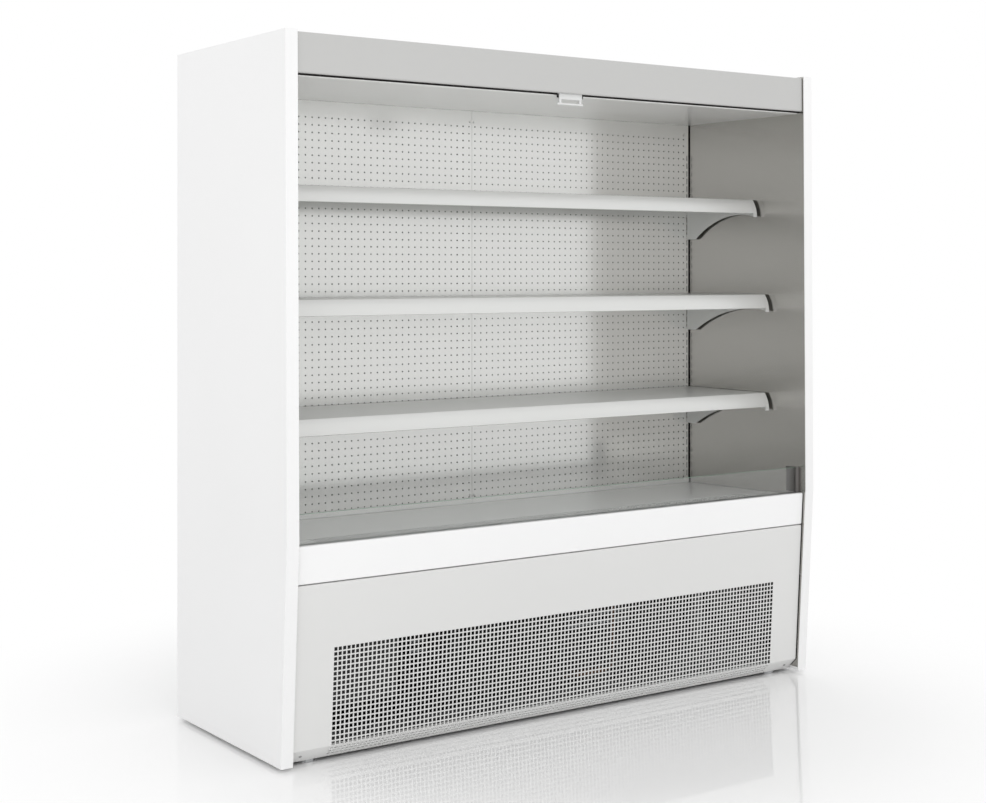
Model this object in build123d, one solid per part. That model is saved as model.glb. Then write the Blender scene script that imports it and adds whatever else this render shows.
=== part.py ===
from build123d import *
import os
from math import atan2, ceil, cos, degrees, pi, radians, sin, tan

# An open multideck display fridge: two tall end panels carry an insulated rear wall, a roof and a
# tub; three shelves hang on slotted uprights in front of a perforated back, a night blind rolls
# up behind the fascia, and the cooling machine stands in the base behind a perforated front.
# Millimetres. X runs along the front, the front faces -Y, Z is up. The origin is on the floor
# under the middle of the cabinet. A depth is measured forwards from the back face, and a setback
# is measured backwards from the foremost point of the end panels.

# Overall, over the end panels and down to the floor
WIDTH = 1955.0
DEPTH = 688.5
HEIGHT = 1970.0

# End panels: a foamed core with a steel lining on the inside
END_THICKNESS = 37.0
END_LIFT = 10.0
END_TOP_SETBACK = 9.5
NOSE_RISE = 35.0
END_BASE_SETBACK = 35.5
END_ROUND = 2.5
LINING_THICKNESS = 1.0
LINING_INSET = 1.5

# Insulated shell
REAR_WALL_THICKNESS = 60.0
ROOF_THICKNESS = 55.0
ROOF_SETBACK = 88.5
TUB_DROP = 246.0
TUB_FLOOR_THICKNESS = 50.0
TUB_SETBACK = 33.5
TUB_FRONT_THICKNESS = 45.0
TUB_LIP_RISE = 8.0

# Sheet metal
THIN_SHEET = 1.2
SHEET = 1.5
THICK_SHEET = 2.0
BEND = 3.0
SEAT_GAP = 0.1
SIDE_GAP = 3.0

# Base frame, its tray and the levelling feet
RAIL_WIDTH = 40.0
RAIL_BOTTOM = 25.0
RAIL_TOP = 60.0
RAIL_WALL = 3.0
REAR_RAIL_DEPTH = 60.0
CROSS_MEMBER_X = 300.0
TRAY_RIM = 12.0
FOOT_INSET = 77.0
FOOT_PAD_RADIUS = 22.0
FOOT_PAD_HEIGHT = 8.0
FOOT_STEM_RADIUS = 6.0
FOOT_NUT_FLATS = 22.0
FOOT_NUT_TOP = 20.0
FOOT_STEM_TOP = 50.0
THREAD_GAP = 0.3
BOSS_RADIUS = 13.0

# Perforated back, centre post and slotted uprights
BACK_DEPTH = 119.0
BACK_TAIL = 13.0
PANEL_RETURN = 20.0
SEAM_HALF = 0.4
POST_HALF = 20.0
UPRIGHT_WIDTH = 12.0
UPRIGHT_WALL_GAP = 5.0
UPRIGHT_TAIL = 90.0
SLOT_WIDTH = 3.4
SLOT_HEIGHT = 19.5
SLOT_PITCH = 27.3
SLOT_TOP_DROP = 118.0
SLOT_END_RISE = 24.0
SCREW_HEAD_RADIUS = 3.5
SCREW_HEAD_HEIGHT = 1.6
SEAM_SCREW_X = 7.5
BACK_SCREW_DROP = 36.5
BACK_SCREW_RISE = 26.0
BACK_SCREW_EDGE = 8.5

# Ceiling, air outlet and fascia
CEILING_DROP = 121.5
CEILING_SETBACK = 38.5
CEILING_LIP = 19.0
OUTLET_LENGTH = 44.0
OUTLET_HEIGHT = 22.0
OUTLET_BAYS = 4
OUTLET_SLOTS = 4
OUTLET_RIB = 3.0
FASCIA_BOTTOM_DROP = 115.0
FASCIA_TOP_DROP = 5.0
FASCIA_SETBACK = 6.3
FASCIA_ROLL = 5.5
FASCIA_HEM = 12.0
FASCIA_OVERLAP = 30.0

# Night blind
BLIND_SETBACK = 32.5
BLIND_END_GAP = 12.0
ROLLER_DROP = 45.0
ROLLER_RADIUS = 16.0
ROLLER_PIN_RADIUS = 5.0
PIN_GAP = 0.1
WOUND_RADIUS = 23.4
CLOTH = 0.6
CLOTH_GAP = 0.3
BAR_DROP = 92.0
BAR_HEIGHT = 20.0
BAR_DEPTH = 8.0
BAR_WALL = 1.4
BLIND_PLATE = 3.0
BLIND_PLATE_HALF = 24.0
HANDLE_CENTRE = -14.0
HANDLE_WIDTH = 86.0
HANDLE_HEIGHT = 20.0
HANDLE_DEPTH = 9.0
HANDLE_ROUND = 1.5
GRIP_WIDTH = 98.0
GRIP_SIZE = 6.0
GRIP_DROP = 10.0
GRIP_ARM = 8.0

# Shelves: a folded tray on two cantilever brackets
TOP_SHELF_HEIGHT = 1571.0
MIDDLE_SHELF_HEIGHT = 1250.5
BOTTOM_SHELF_HEIGHT = 919.0
TOP_SHELF_DEPTH = 452.0
LOWER_SHELF_DEPTH = 510.0
SHELF_BACK = 124.0
LIP_DROP = 46.0
LIP_REACH = 18.0
LIP_HEM = 9.0
SHELF_FLANGE = 20.0
SHELF_END_GAP = 8.0
RIB_WIDTH = 50.0
RIB_HEIGHT = 16.0
BRACKET_THICKNESS = 2.5
BRACKET_BACK_GAP = 2.0
NOSE_WIDTH = 15.5
NOSE_DROP = 58.5
NOSE_REACH = 20.0
NOSE_GAP = 1.5
HEEL_DROP = 129.0
HEEL_LENGTH = 45.0
CROWN_SETBACK = 60.0
CROWN_DROP = 48.5
HOOK_HEIGHT = 11.0
HOOK_DROP = 9.0
HOOK_THICKNESS = 5.0
HOOK_GAP = 0.3
HOOK_MARGIN = 24.0
HOOK_SPACING = 3

# Deck, return air grille, bumper and glass riser
DECK_HEIGHT = 576.0
DECK_RISE = 13.0
DECK_BACK_GAP = 3.0
DECK_FLANGE = 14.0
DECK_GAP = 2.0
DECK_END_GAP = 3.5
BEARER_WIDTH = 30.0
BEARER_HEIGHT = 20.0
BEARER_END_GAP = 20.0
BEARER_X = 300.0
RETURN_SETBACK = 52.0
RETURN_LENGTH = 129.5
RETURN_BAYS = 3
RETURN_ROWS = 7
RETURN_FIRST_ROW = 8.8
LEDGE_SETBACK = 21.5
LEDGE_HEIGHT = 15.0
BUMPER_GAP = 3.0
BUMPER_SHEET = 2.0
FRONT_SETBACK = 9.5
GLASS_SETBACK = 37.5
GLASS_THICKNESS = 6.0
GLASS_RISE = 82.0
GLASS_GROOVE = 11.0
GLASS_GAP = 0.2
GLASS_END_GAP = 2.0
GLASS_PLATE = 3.0
GLASS_PLATE_LENGTH = 56.0
GLASS_CHANNEL = 9.0
GLASS_CHANNEL_WALL = 2.5

# Perforated lower front
LOWER_DROP = 83.0
TOE_BEND_HEIGHT = 47.0
TOE_ANGLE = 45.0
TOE_LENGTH = 57.0
TOE_FLANGE = 34.0
TOE_FOLD = 1.5
HOLE_PITCH = 13.57
HOLE_SIDE = 8.6
FIELD_COLUMNS = 121
FACE_ROWS = 20
FACE_FIRST_ROW = 6.2
TOE_ROWS = 4
TOE_BAYS = 5
TOE_FIRST_ROW = 6.6
BACKING_SHEET = 1.0
BACKING_MARGIN = 12.0
BACKING_TOE_GAP = 0.3
TOE_SCREW_EDGE = 32.5
TOE_SCREW_RADIUS = 4.5

# Evaporator and its fans, in the tub
COIL_END_GAP = 239.5
COIL_BACK_GAP = 80.0
COIL_LENGTH = 190.0
COIL_LIFT = 15.0
COIL_HEIGHT = 130.0
COIL_FINS = 16
COIL_GROOVE = 30.0
COIL_PLATE = 2.0
COIL_BENDS = 2
TUBE_RADIUS = 6.0
FAN_PLATE_DEPTH = 431.0
FAN_PLATE_HEIGHT = 165.0
FAN_LIFT = 84.0
FAN_SPACING = 500.0
FAN_RADIUS = 70.0
FAN_TIP_GAP = 4.0
FAN_HUB_RADIUS = 22.0
FAN_BLADES = 4
FAN_LENGTH = 22.0
BLADE_THICKNESS = 1.6
BLADE_PITCH = 32.0
SHAFT_RADIUS = 3.0
SHAFT_GAP = 0.1
MOTOR_RADIUS = 24.0
MOTOR_LENGTH = 38.0
STRAP_WIDTH = 26.0
STRAP_GAP = 2.0
DRAIN_EDGE = 339.5
DRAIN_SETBACK = 148.5
DRAIN_RADIUS = 15.0
DRAIN_WALL = 2.0
DRAIN_COLLAR = 8.0
DRAIN_LIFT = 14.0

# Condensing unit, in the base
CONDENSER_X = -190.0
CONDENSER_WIDTH = 420.0
CONDENSER_SETBACK = 113.5
CONDENSER_LENGTH = 60.0
CONDENSER_LIFT = 13.5
CONDENSER_GAP = 20.0
CONDENSER_FINS = 12
CONDENSER_GROOVE = 12.0
CONDENSER_BENDS = 2
SHROUD_LENGTH = 55.0
CONDENSER_FAN_RADIUS = 100.0
CONDENSER_FAN_LENGTH = 30.0
CONDENSER_HUB_RADIUS = 30.0
COMPRESSOR_X = 110.0
COMPRESSOR_DEPTH = 330.0
COMPRESSOR_RADIUS = 78.0
COMPRESSOR_GAP = 71.5
COMPRESSOR_SHOULDER = 30.0
GROMMET_HEIGHT = 14.0
GROMMET_RADIUS = 9.0
GROMMET_INSET = 14.0
STUB_RADIUS = 8.0
STUB_HEIGHT = 8.0
SUCTION_OFFSET = 38.0
PIPE_RADIUS = 5.0
PIPE_BEND = 15.0
DISCHARGE_GAP = 31.5
LIQUID_LIFT = 38.0
DRIER_GAP = 45.0
DRIER_RADIUS = 15.0
DRIER_LENGTH = 110.0
DRIP_TRAY_WIDTH = 330.0
DRIP_TRAY_LENGTH = 200.0
DRIP_TRAY_HEIGHT = 45.0
CONTROL_BOX_EDGE = 122.5
CONTROL_BOX_WIDTH = 212.0
CONTROL_BOX_DROP = 17.0
CONTROL_BOX_HEIGHT = 161.0
CONTROL_BOX_SETBACK = 48.5
CONTROL_BOX_LENGTH = 70.0
CONTROL_BOX_ROUND = 4.0
REAR_COVER_DEPTH = 25.0
LOUVRE_SPACING = 560.0
LOUVRE_LENGTH = 360.0
LOUVRE_HEIGHT = 9.0
LOUVRE_PITCH = 32.0
LOUVRE_ROWS = 6
LOUVRE_RISE = 72.0
GLAND_EDGE = 120.0
GLAND_HEIGHT = 90.0
GLAND_FLATS = 24.0
GLAND_NUT_LENGTH = 8.0
GLAND_CAP_FLATS = 18.0
GLAND_LENGTH = 20.0
GLAND_BORE_RADIUS = 4.5
GLAND_ENTRY_GAP = 2.5

# Places that follow from the sizes above
END_NOSE_HEIGHT = DECK_HEIGHT + NOSE_RISE
PANEL_INNER = WIDTH / 2 - END_THICKNESS
INNER = PANEL_INNER - LINING_THICKNESS
TRAY_TOP = RAIL_TOP + SHEET
ROOF_TOP = HEIGHT - FASCIA_TOP_DROP - SHEET
ROOF_BOTTOM = ROOF_TOP - ROOF_THICKNESS
ROOF_FRONT = DEPTH - ROOF_SETBACK
CEILING = HEIGHT - CEILING_DROP
CEILING_FRONT = DEPTH - CEILING_SETBACK
TUB_BOTTOM = DECK_HEIGHT - TUB_DROP
TUB_FLOOR = TUB_BOTTOM + TUB_FLOOR_THICKNESS
TUB_FRONT = DEPTH - TUB_SETBACK
TUB_INSIDE = TUB_FRONT - TUB_FRONT_THICKNESS
TUB_TOP = DECK_HEIGHT + TUB_LIP_RISE
LEDGE_TOP = TUB_TOP + LEDGE_HEIGHT
LEDGE_FRONT = DEPTH - LEDGE_SETBACK
RETURN_FRONT = DEPTH - RETURN_SETBACK
RETURN_START = RETURN_FRONT - RETURN_LENGTH
DECK_FRONT = RETURN_START - DECK_GAP
GLASS_DEPTH = DEPTH - GLASS_SETBACK
SHELVES = {
    "top": (TOP_SHELF_HEIGHT, TOP_SHELF_DEPTH),
    "middle": (MIDDLE_SHELF_HEIGHT, LOWER_SHELF_DEPTH),
    "bottom": (BOTTOM_SHELF_HEIGHT, LOWER_SHELF_DEPTH),
}
BLIND_DEPTH = DEPTH - BLIND_SETBACK
BLIND_HALF = INNER - BLIND_END_GAP
BAR_TOP = HEIGHT - BAR_DROP
BAR_BOTTOM = BAR_TOP - BAR_HEIGHT
ROLLER_HEIGHT = HEIGHT - ROLLER_DROP
ROLLER_DEPTH = BLIND_DEPTH - WOUND_RADIUS - CLOTH_GAP - CLOTH / 2
UPRIGHT_OUTER = INNER - UPRIGHT_WALL_GAP
UPRIGHT_INNER = UPRIGHT_OUTER - UPRIGHT_WIDTH
SLOT_X = (UPRIGHT_OUTER + UPRIGHT_INNER) / 2
SLOT_TOP = CEILING - SLOT_TOP_DROP
SLOT_COUNT = int((SLOT_TOP - DECK_HEIGHT - SLOT_END_RISE) / SLOT_PITCH) + 1
BACK_BOTTOM = DECK_HEIGHT - BACK_TAIL
BACK_SCREW_HEIGHTS = (CEILING - BACK_SCREW_DROP, DECK_HEIGHT + BACK_SCREW_RISE)
BACK_SCREW_X = (SEAM_SCREW_X, UPRIGHT_INNER - BACK_SCREW_EDGE)
FRONT_HALF = INNER - SIDE_GAP
TOE_SCREW_X = FRONT_HALF - TOE_SCREW_EDGE
LOWER_TOP = DECK_HEIGHT - LOWER_DROP
FIELD_HALF = ((FIELD_COLUMNS - 1) * HOLE_PITCH + HOLE_SIDE) / 2
FACE_LEAN = atan2(END_BASE_SETBACK, END_NOSE_HEIGHT - END_LIFT)
TOE_LEAN = radians(TOE_ANGLE)
FOOT_X = PANEL_INNER - FOOT_INSET
FAN_HEIGHT = TUB_FLOOR + FAN_LIFT
COIL_HALF = INNER - COIL_END_GAP
DRAIN_X = INNER - DRAIN_EDGE
DRAIN_DEPTH = DEPTH - DRAIN_SETBACK
CONDENSER_FRONT = DEPTH - CONDENSER_SETBACK
CONDENSER_BOTTOM = TRAY_TOP + CONDENSER_LIFT
CONDENSER_BACK = CONDENSER_FRONT - CONDENSER_LENGTH
SHROUD_BACK = CONDENSER_BACK - SHROUD_LENGTH
CONDENSER_HEIGHT = TUB_BOTTOM - CONDENSER_GAP - CONDENSER_BOTTOM
CONDENSER_MIDDLE = CONDENSER_BOTTOM + CONDENSER_HEIGHT / 2
COMPRESSOR_BASE = TRAY_TOP + GROMMET_HEIGHT
COMPRESSOR_HEIGHT = TUB_BOTTOM - COMPRESSOR_GAP - COMPRESSOR_BASE - RAIL_WALL
STUB_TOP = COMPRESSOR_BASE + RAIL_WALL + COMPRESSOR_HEIGHT + STUB_HEIGHT


def y_at(depth):
    """The Y of a depth measured forwards from the back face."""
    return DEPTH / 2 - depth


def panel_front(height):
    """The depth of an end panel's front edge at a height: it leans out to its nose, then back."""
    if height >= END_NOSE_HEIGHT:
        return DEPTH - END_TOP_SETBACK * (height - END_NOSE_HEIGHT) / (HEIGHT - END_NOSE_HEIGHT)
    return DEPTH - END_BASE_SETBACK * (END_NOSE_HEIGHT - height) / (END_NOSE_HEIGHT - END_LIFT)


def front_face(height):
    """The depth of the bumper's and the lower front's outer face at a height."""
    return panel_front(height) - FRONT_SETBACK


BEND_DEPTH = front_face(TOE_BEND_HEIGHT)


def face_point(inset, distance):
    """A (depth, height) a distance up the lower front's face from its bend, and an inset inside."""
    depth = BEND_DEPTH + distance * sin(FACE_LEAN) - inset * cos(FACE_LEAN)
    return depth, TOE_BEND_HEIGHT + distance * cos(FACE_LEAN) + inset * sin(FACE_LEAN)


def toe_point(inset, distance):
    """A (depth, height) a distance down the lower front's toe from its bend, and an inset inside."""
    depth = BEND_DEPTH - distance * cos(TOE_LEAN) - inset * sin(TOE_LEAN)
    return depth, TOE_BEND_HEIGHT - distance * sin(TOE_LEAN) + inset * cos(TOE_LEAN)


def bend_point(inset):
    """Where the face and the toe meet, once both are moved in by an inset."""
    return face_point(inset, inset * tan(pi / 4 - TOE_LEAN / 2 - FACE_LEAN / 2))


FRONT_RAIL_FACE = toe_point(THIN_SHEET / 2, TOE_LENGTH)[0] - THIN_SHEET / 2
FRONT_RAIL_DEPTH = FRONT_RAIL_FACE - RAIL_WIDTH / 2


def deck_top(depth):
    """The height of the deck's and the return grille's upper face, which rise to the front."""
    back = BACK_DEPTH + DECK_BACK_GAP
    return DECK_HEIGHT + DECK_RISE * (depth - back) / (RETURN_FRONT - back)


def block(x, depth, z):
    """A rectangular solid from its limits in X, in depth and in Z."""
    size = (x[1] - x[0], depth[1] - depth[0], z[1] - z[0])
    middle = ((x[0] + x[1]) / 2, y_at((depth[0] + depth[1]) / 2), (z[0] + z[1]) / 2)
    return Pos(*middle) * Box(*size)


def along_x(section, x_from, x_to):
    """A section drawn in (Y, Z), drawn out from one X to another."""
    return extrude(Plane.YZ.offset(x_from) * section, amount=x_to - x_from, dir=(1, 0, 0))


def side_points(points):
    """(depth, height) points as (Y, Z) points."""
    return [(y_at(depth), height) for depth, height in points]


def slab(points, x_from, x_to):
    """A solid of one straight-sided section, from its (depth, height) corners."""
    return along_x(make_face(Polyline(*side_points(points), close=True)), x_from, x_to)


def folded(points, thickness, half, bends=BEND):
    """A sheet folded along X, from the (depth, height) points of its middle line."""
    line = FilletPolyline(*side_points(points), radius=bends)
    return along_x(trace(line, line_width=thickness), -half, half)


def rod(radius, centre_x, height, depth_from, depth_to, flats=0):
    """A bar that lies front to back: round, or with a number of flats."""
    half = (depth_to - depth_from) / 2
    place = Pos(centre_x, y_at((depth_from + depth_to) / 2), height)
    section = RegularPolygon(radius, flats) if flats else Circle(radius)
    return place * Rot(X=90) * extrude(section, half, both=True)


def cross_rod(radius, x_from, x_to, depth, height):
    """A round bar that lies along X."""
    place = Pos((x_from + x_to) / 2, y_at(depth), height)
    return place * Rot(Y=90) * Cylinder(radius, x_to - x_from)


def post(radius, x, depth, z_from, z_to):
    """A round bar that stands upright."""
    return Pos(x, y_at(depth), (z_from + z_to) / 2) * Cylinder(radius, z_to - z_from)


def both_sides(solid):
    """A solid and its mirror image across the middle of the cabinet."""
    return Compound([solid, mirror(solid, Plane.YZ)])


# End panels and the insulated shell

def panel_outline(inset, bottom):
    """The corners of an end panel seen from the side, drawn in by an inset."""
    top = HEIGHT - inset
    nose = END_NOSE_HEIGHT
    return [
        (inset, bottom),
        (inset, top),
        (panel_front(top) - inset, top),
        (panel_front(nose) - inset, nose),
        (panel_front(bottom) - inset, bottom),
    ]


def end_panel(side):
    panel = slab(panel_outline(0, END_LIFT), PANEL_INNER, WIDTH / 2)
    outer_edges = panel.faces().sort_by(Axis.X)[-1].edges()
    panel = fillet(outer_edges, END_ROUND)
    return panel if side > 0 else mirror(panel, Plane.YZ)


def side_linings():
    return both_sides(slab(panel_outline(LINING_INSET, TUB_BOTTOM), INNER, PANEL_INNER))


def rear_wall():
    return block((-INNER, INNER), (0, REAR_WALL_THICKNESS), (TUB_BOTTOM, ROOF_TOP))


def roof_panel():
    return block((-INNER, INNER), (REAR_WALL_THICKNESS, ROOF_FRONT), (ROOF_BOTTOM, ROOF_TOP))


def tub():
    """The insulated well under the deck: a floor with a drain hole and an upstand in front."""
    corners = [
        (REAR_WALL_THICKNESS, TUB_BOTTOM),
        (TUB_FRONT, TUB_BOTTOM),
        (TUB_FRONT, TUB_TOP),
        (TUB_INSIDE, TUB_TOP),
        (TUB_INSIDE, TUB_FLOOR),
        (REAR_WALL_THICKNESS, TUB_FLOOR),
    ]
    drain = post(DRAIN_RADIUS + CLOTH_GAP, DRAIN_X, DRAIN_DEPTH, TUB_BOTTOM - 1, TUB_FLOOR + 1)
    return slab(corners, -INNER, INNER) - drain


# Base frame, tray and feet

def channel_along_x(depth, half):
    """A steel channel, open below, that lies along X."""
    outer = (depth - RAIL_WIDTH / 2, depth + RAIL_WIDTH / 2)
    inner = (outer[0] + RAIL_WALL, outer[1] - RAIL_WALL)
    hollow = block((-half - 1, half + 1), inner, (RAIL_BOTTOM - 1, RAIL_TOP - RAIL_WALL))
    return block((-half, half), outer, (RAIL_BOTTOM, RAIL_TOP)) - hollow


def base_rail(depth):
    """A rail with two hexagonal weld nuts under its web, where the feet screw in."""
    rail = channel_along_x(depth, PANEL_INNER)
    nut = extrude(RegularPolygon(BOSS_RADIUS, 6), RAIL_TOP - RAIL_WALL - FOOT_NUT_TOP)
    for x in (-FOOT_X, FOOT_X):
        rail += Pos(x, y_at(depth), FOOT_NUT_TOP) * nut
        rail -= post(FOOT_STEM_RADIUS + THREAD_GAP, x, depth, FOOT_NUT_TOP - 1, RAIL_TOP - RAIL_WALL)
    return rail


def base_frame():
    """Two rails along the cabinet, joined by four channels from front to rear."""
    frame = base_rail(FRONT_RAIL_DEPTH) + base_rail(REAR_RAIL_DEPTH)
    start = REAR_RAIL_DEPTH + RAIL_WIDTH / 2
    end = FRONT_RAIL_FACE - RAIL_WIDTH
    for middle in (CROSS_MEMBER_X, PANEL_INNER - RAIL_WIDTH / 2):
        outer = (middle - RAIL_WIDTH / 2, middle + RAIL_WIDTH / 2)
        inner = (outer[0] + RAIL_WALL, outer[1] - RAIL_WALL)
        hollow = block(inner, (start - 1, end + 1), (RAIL_BOTTOM - 1, RAIL_TOP - RAIL_WALL))
        member = block(outer, (start, end), (RAIL_BOTTOM, RAIL_TOP)) - hollow
        frame += both_sides(member)
    return frame


def machine_tray():
    """The floor of the machine space, with its front and rear edges turned up."""
    start = REAR_RAIL_DEPTH - RAIL_WIDTH / 2
    middle = RAIL_TOP + SHEET / 2
    path = [
        (start + SHEET / 2, TRAY_TOP + TRAY_RIM),
        (start + SHEET / 2, middle),
        (FRONT_RAIL_FACE - SHEET / 2, middle),
        (FRONT_RAIL_FACE - SHEET / 2, TRAY_TOP + TRAY_RIM),
    ]
    return folded(path, SHEET, PANEL_INNER)


def levelling_foot(x, depth):
    """A screw-in foot: a twelve-sided pad and stem, with a hexagon between to turn it by."""
    foot = extrude(RegularPolygon(FOOT_PAD_RADIUS, 12), FOOT_PAD_HEIGHT)
    foot += extrude(RegularPolygon(FOOT_NUT_FLATS / 2, 6, major_radius=False), FOOT_NUT_TOP)
    foot += extrude(RegularPolygon(FOOT_STEM_RADIUS, 12), FOOT_STEM_TOP)
    return Pos(x, y_at(depth), 0) * foot


# Rear cover of the machine space

def rear_cover():
    """A sheet with three groups of louvre slots and a round hole for the cable gland."""
    cover = block(
        (-PANEL_INNER, PANEL_INNER),
        (REAR_COVER_DEPTH, REAR_COVER_DEPTH + THIN_SHEET),
        (RAIL_BOTTOM, TUB_BOTTOM),
    )
    slots = []
    for x in (-LOUVRE_SPACING, 0, LOUVRE_SPACING):
        for row in range(LOUVRE_ROWS):
            low = RAIL_BOTTOM + LOUVRE_RISE + row * LOUVRE_PITCH
            slots.append(block(
                (x - LOUVRE_LENGTH / 2, x + LOUVRE_LENGTH / 2),
                (REAR_COVER_DEPTH - 1, REAR_COVER_DEPTH + THIN_SHEET + 1),
                (low, low + LOUVRE_HEIGHT),
            ))
    entry = rod(
        GLAND_BORE_RADIUS + GLAND_ENTRY_GAP, PANEL_INNER - GLAND_EDGE, GLAND_HEIGHT,
        REAR_COVER_DEPTH - 1, REAR_COVER_DEPTH + THIN_SHEET + 1,
    )
    return cover - slots - entry


def cable_gland():
    """The empty gland that a supply cable would come out of: a hexagon and its clamping cap."""
    place = Pos(PANEL_INNER - GLAND_EDGE, y_at(REAR_COVER_DEPTH), GLAND_HEIGHT) * Rot(X=-90)
    body = extrude(RegularPolygon(GLAND_FLATS / 2, 6, major_radius=False), GLAND_NUT_LENGTH)
    body += extrude(RegularPolygon(GLAND_CAP_FLATS / 2, 6, major_radius=False), GLAND_LENGTH)
    bore = Pos(0, 0, GLAND_LENGTH / 2) * Cylinder(GLAND_BORE_RADIUS, GLAND_LENGTH + 2)
    return place * (body - bore)


# Perforated back, post and uprights

def back_panel(side):
    """Half of the back: a sheet from the seam to the upright, its outer edge turned back."""
    inner, outer = SEAM_HALF, UPRIGHT_INNER
    front = (BACK_DEPTH - SHEET, BACK_DEPTH)
    returned = (BACK_DEPTH - PANEL_RETURN, BACK_DEPTH)
    panel = block((inner, outer), front, (BACK_BOTTOM, CEILING))
    panel += block((outer - SHEET, outer), returned, (BACK_BOTTOM, CEILING))
    return panel if side > 0 else mirror(panel, Plane.YZ)


def back_screws():
    """The screw heads that hold the back panels at the seam and beside the uprights."""
    front = Plane.XZ.offset(-y_at(BACK_DEPTH))
    head = extrude(front * RegularPolygon(SCREW_HEAD_RADIUS, 6), SCREW_HEAD_HEIGHT)
    places = [Pos(x, 0, z) for x in BACK_SCREW_X for z in BACK_SCREW_HEIGHTS]
    return Compound([both_sides(place * head) for place in places])


def centre_post():
    """The channel behind the seam of the two back panels, open to the rear."""
    front = BACK_DEPTH - SHEET
    z = (BACK_BOTTOM, CEILING)
    outer = block((-POST_HALF, POST_HALF), (REAR_WALL_THICKNESS, front), z)
    inner_half = POST_HALF - THICK_SHEET
    hollow = block((-inner_half, inner_half), (0, front - THICK_SHEET), (z[0] - 1, z[1] + 1))
    return outer - hollow


def slot_heights():
    return [SLOT_TOP - row * SLOT_PITCH for row in range(SLOT_COUNT)]


def uprights():
    """The slotted channels in the back corners, where the shelf brackets hook in."""
    z = (DECK_HEIGHT - UPRIGHT_TAIL, CEILING)
    outer = block((UPRIGHT_INNER, UPRIGHT_OUTER), (REAR_WALL_THICKNESS, BACK_DEPTH), z)
    inner_x = (UPRIGHT_INNER + THICK_SHEET, UPRIGHT_OUTER - THICK_SHEET)
    hollow = block(inner_x, (0, BACK_DEPTH - THICK_SHEET), (z[0] - 1, z[1] + 1))
    slot_x = (SLOT_X - SLOT_WIDTH / 2, SLOT_X + SLOT_WIDTH / 2)
    slot_depth = (BACK_DEPTH - THICK_SHEET - 1, BACK_DEPTH + 1)
    half = SLOT_HEIGHT / 2
    slots = [block(slot_x, slot_depth, (z - half, z + half)) for z in slot_heights()]
    return both_sides(outer - hollow - slots)


# Ceiling, air outlet and fascia

def ceiling_panel():
    """The lining under the air duct, its rear edge on the back panels and its front turned up."""
    middle = CEILING + SHEET / 2
    lip = CEILING + CEILING_LIP
    path = [
        (BACK_DEPTH, lip),
        (BACK_DEPTH, middle),
        (CEILING_FRONT - SHEET / 2, middle),
        (CEILING_FRONT - SHEET / 2, lip),
    ]
    return folded(path, SHEET, INNER)


def air_outlet():
    """The slotted strip above the ceiling's front edge, which straightens the falling air."""
    z = (CEILING + CEILING_LIP, CEILING + CEILING_LIP + OUTLET_HEIGHT)
    back = CEILING_FRONT - OUTLET_LENGTH
    strip = block((-INNER, INNER), (back, CEILING_FRONT), z)
    bay = (2 * INNER - OUTLET_RIB) / OUTLET_BAYS
    row = (OUTLET_LENGTH - OUTLET_RIB) / OUTLET_SLOTS
    cells = []
    for i in range(OUTLET_BAYS):
        x = -INNER + OUTLET_RIB + i * bay
        for j in range(OUTLET_SLOTS):
            depth = back + OUTLET_RIB + j * row
            cell = block((x, x + bay - OUTLET_RIB), (depth, depth + row - OUTLET_RIB),
                         (z[0] - 1, z[1] + 1))
            cells.append(cell)
    return strip - cells


def fascia_panel():
    """The header panel: a top flange to the roof, a leaning face and a rolled bottom edge."""
    top = HEIGHT - FASCIA_TOP_DROP
    bottom = HEIGHT - FASCIA_BOTTOM_DROP
    middle = FASCIA_SETBACK + SHEET / 2
    face_top = panel_front(top) - middle
    face_bottom = panel_front(bottom) - middle
    roll = FASCIA_ROLL - SHEET / 2
    path = FilletPolyline(
        *side_points([
            (ROOF_FRONT - FASCIA_OVERLAP, top - SHEET / 2),
            (face_top, top - SHEET / 2),
            (face_bottom, bottom + SHEET / 2),
            (face_bottom - 2 * roll, bottom + SHEET / 2),
            (face_bottom - 2 * roll, bottom + FASCIA_HEM),
        ]),
        radius=roll - 0.2,
    )
    return along_x(trace(path, line_width=SHEET), -FRONT_HALF - SIDE_GAP / 2, FRONT_HALF + SIDE_GAP / 2)


# Night blind

def blind_roller():
    """The sprung roller, closed at its ends, whose pins turn in the side plates."""
    centre = (ROLLER_DEPTH, ROLLER_HEIGHT)
    pin_end = INNER - CLOTH_GAP
    roller = cross_rod(ROLLER_RADIUS, -BLIND_HALF, BLIND_HALF, *centre)
    return roller + cross_rod(ROLLER_PIN_RADIUS, -pin_end, pin_end, *centre)


def blind_cloth_roll():
    """The cloth wound on the roller, as one solid ring around the tube."""
    half = BLIND_HALF - BLIND_PLATE
    ring = Cylinder(WOUND_RADIUS, 2 * half) - Cylinder(ROLLER_RADIUS + CLOTH_GAP / 2, 2 * half + 2)
    return Pos(0, y_at(ROLLER_DEPTH), ROLLER_HEIGHT) * Rot(Y=90) * ring


def blind_cloth():
    """The free cloth, from where it leaves the roll down to the bottom bar."""
    half = BLIND_HALF - BLIND_PLATE
    depth = (BLIND_DEPTH - CLOTH / 2, BLIND_DEPTH + CLOTH / 2)
    return block((-half, half), depth, (BAR_TOP, ROLLER_HEIGHT))


def blind_bar():
    """The hollow bottom bar that keeps the cloth straight."""
    half = BLIND_HALF - BLIND_PLATE
    depth = (BLIND_DEPTH - BAR_DEPTH / 2, BLIND_DEPTH + BAR_DEPTH / 2)
    inner = (depth[0] + BAR_WALL, depth[1] - BAR_WALL)
    bar = block((-half, half), depth, (BAR_BOTTOM, BAR_TOP))
    return bar - block((-half - 1, half + 1), inner, (BAR_BOTTOM + BAR_WALL, BAR_TOP - BAR_WALL))


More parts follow.
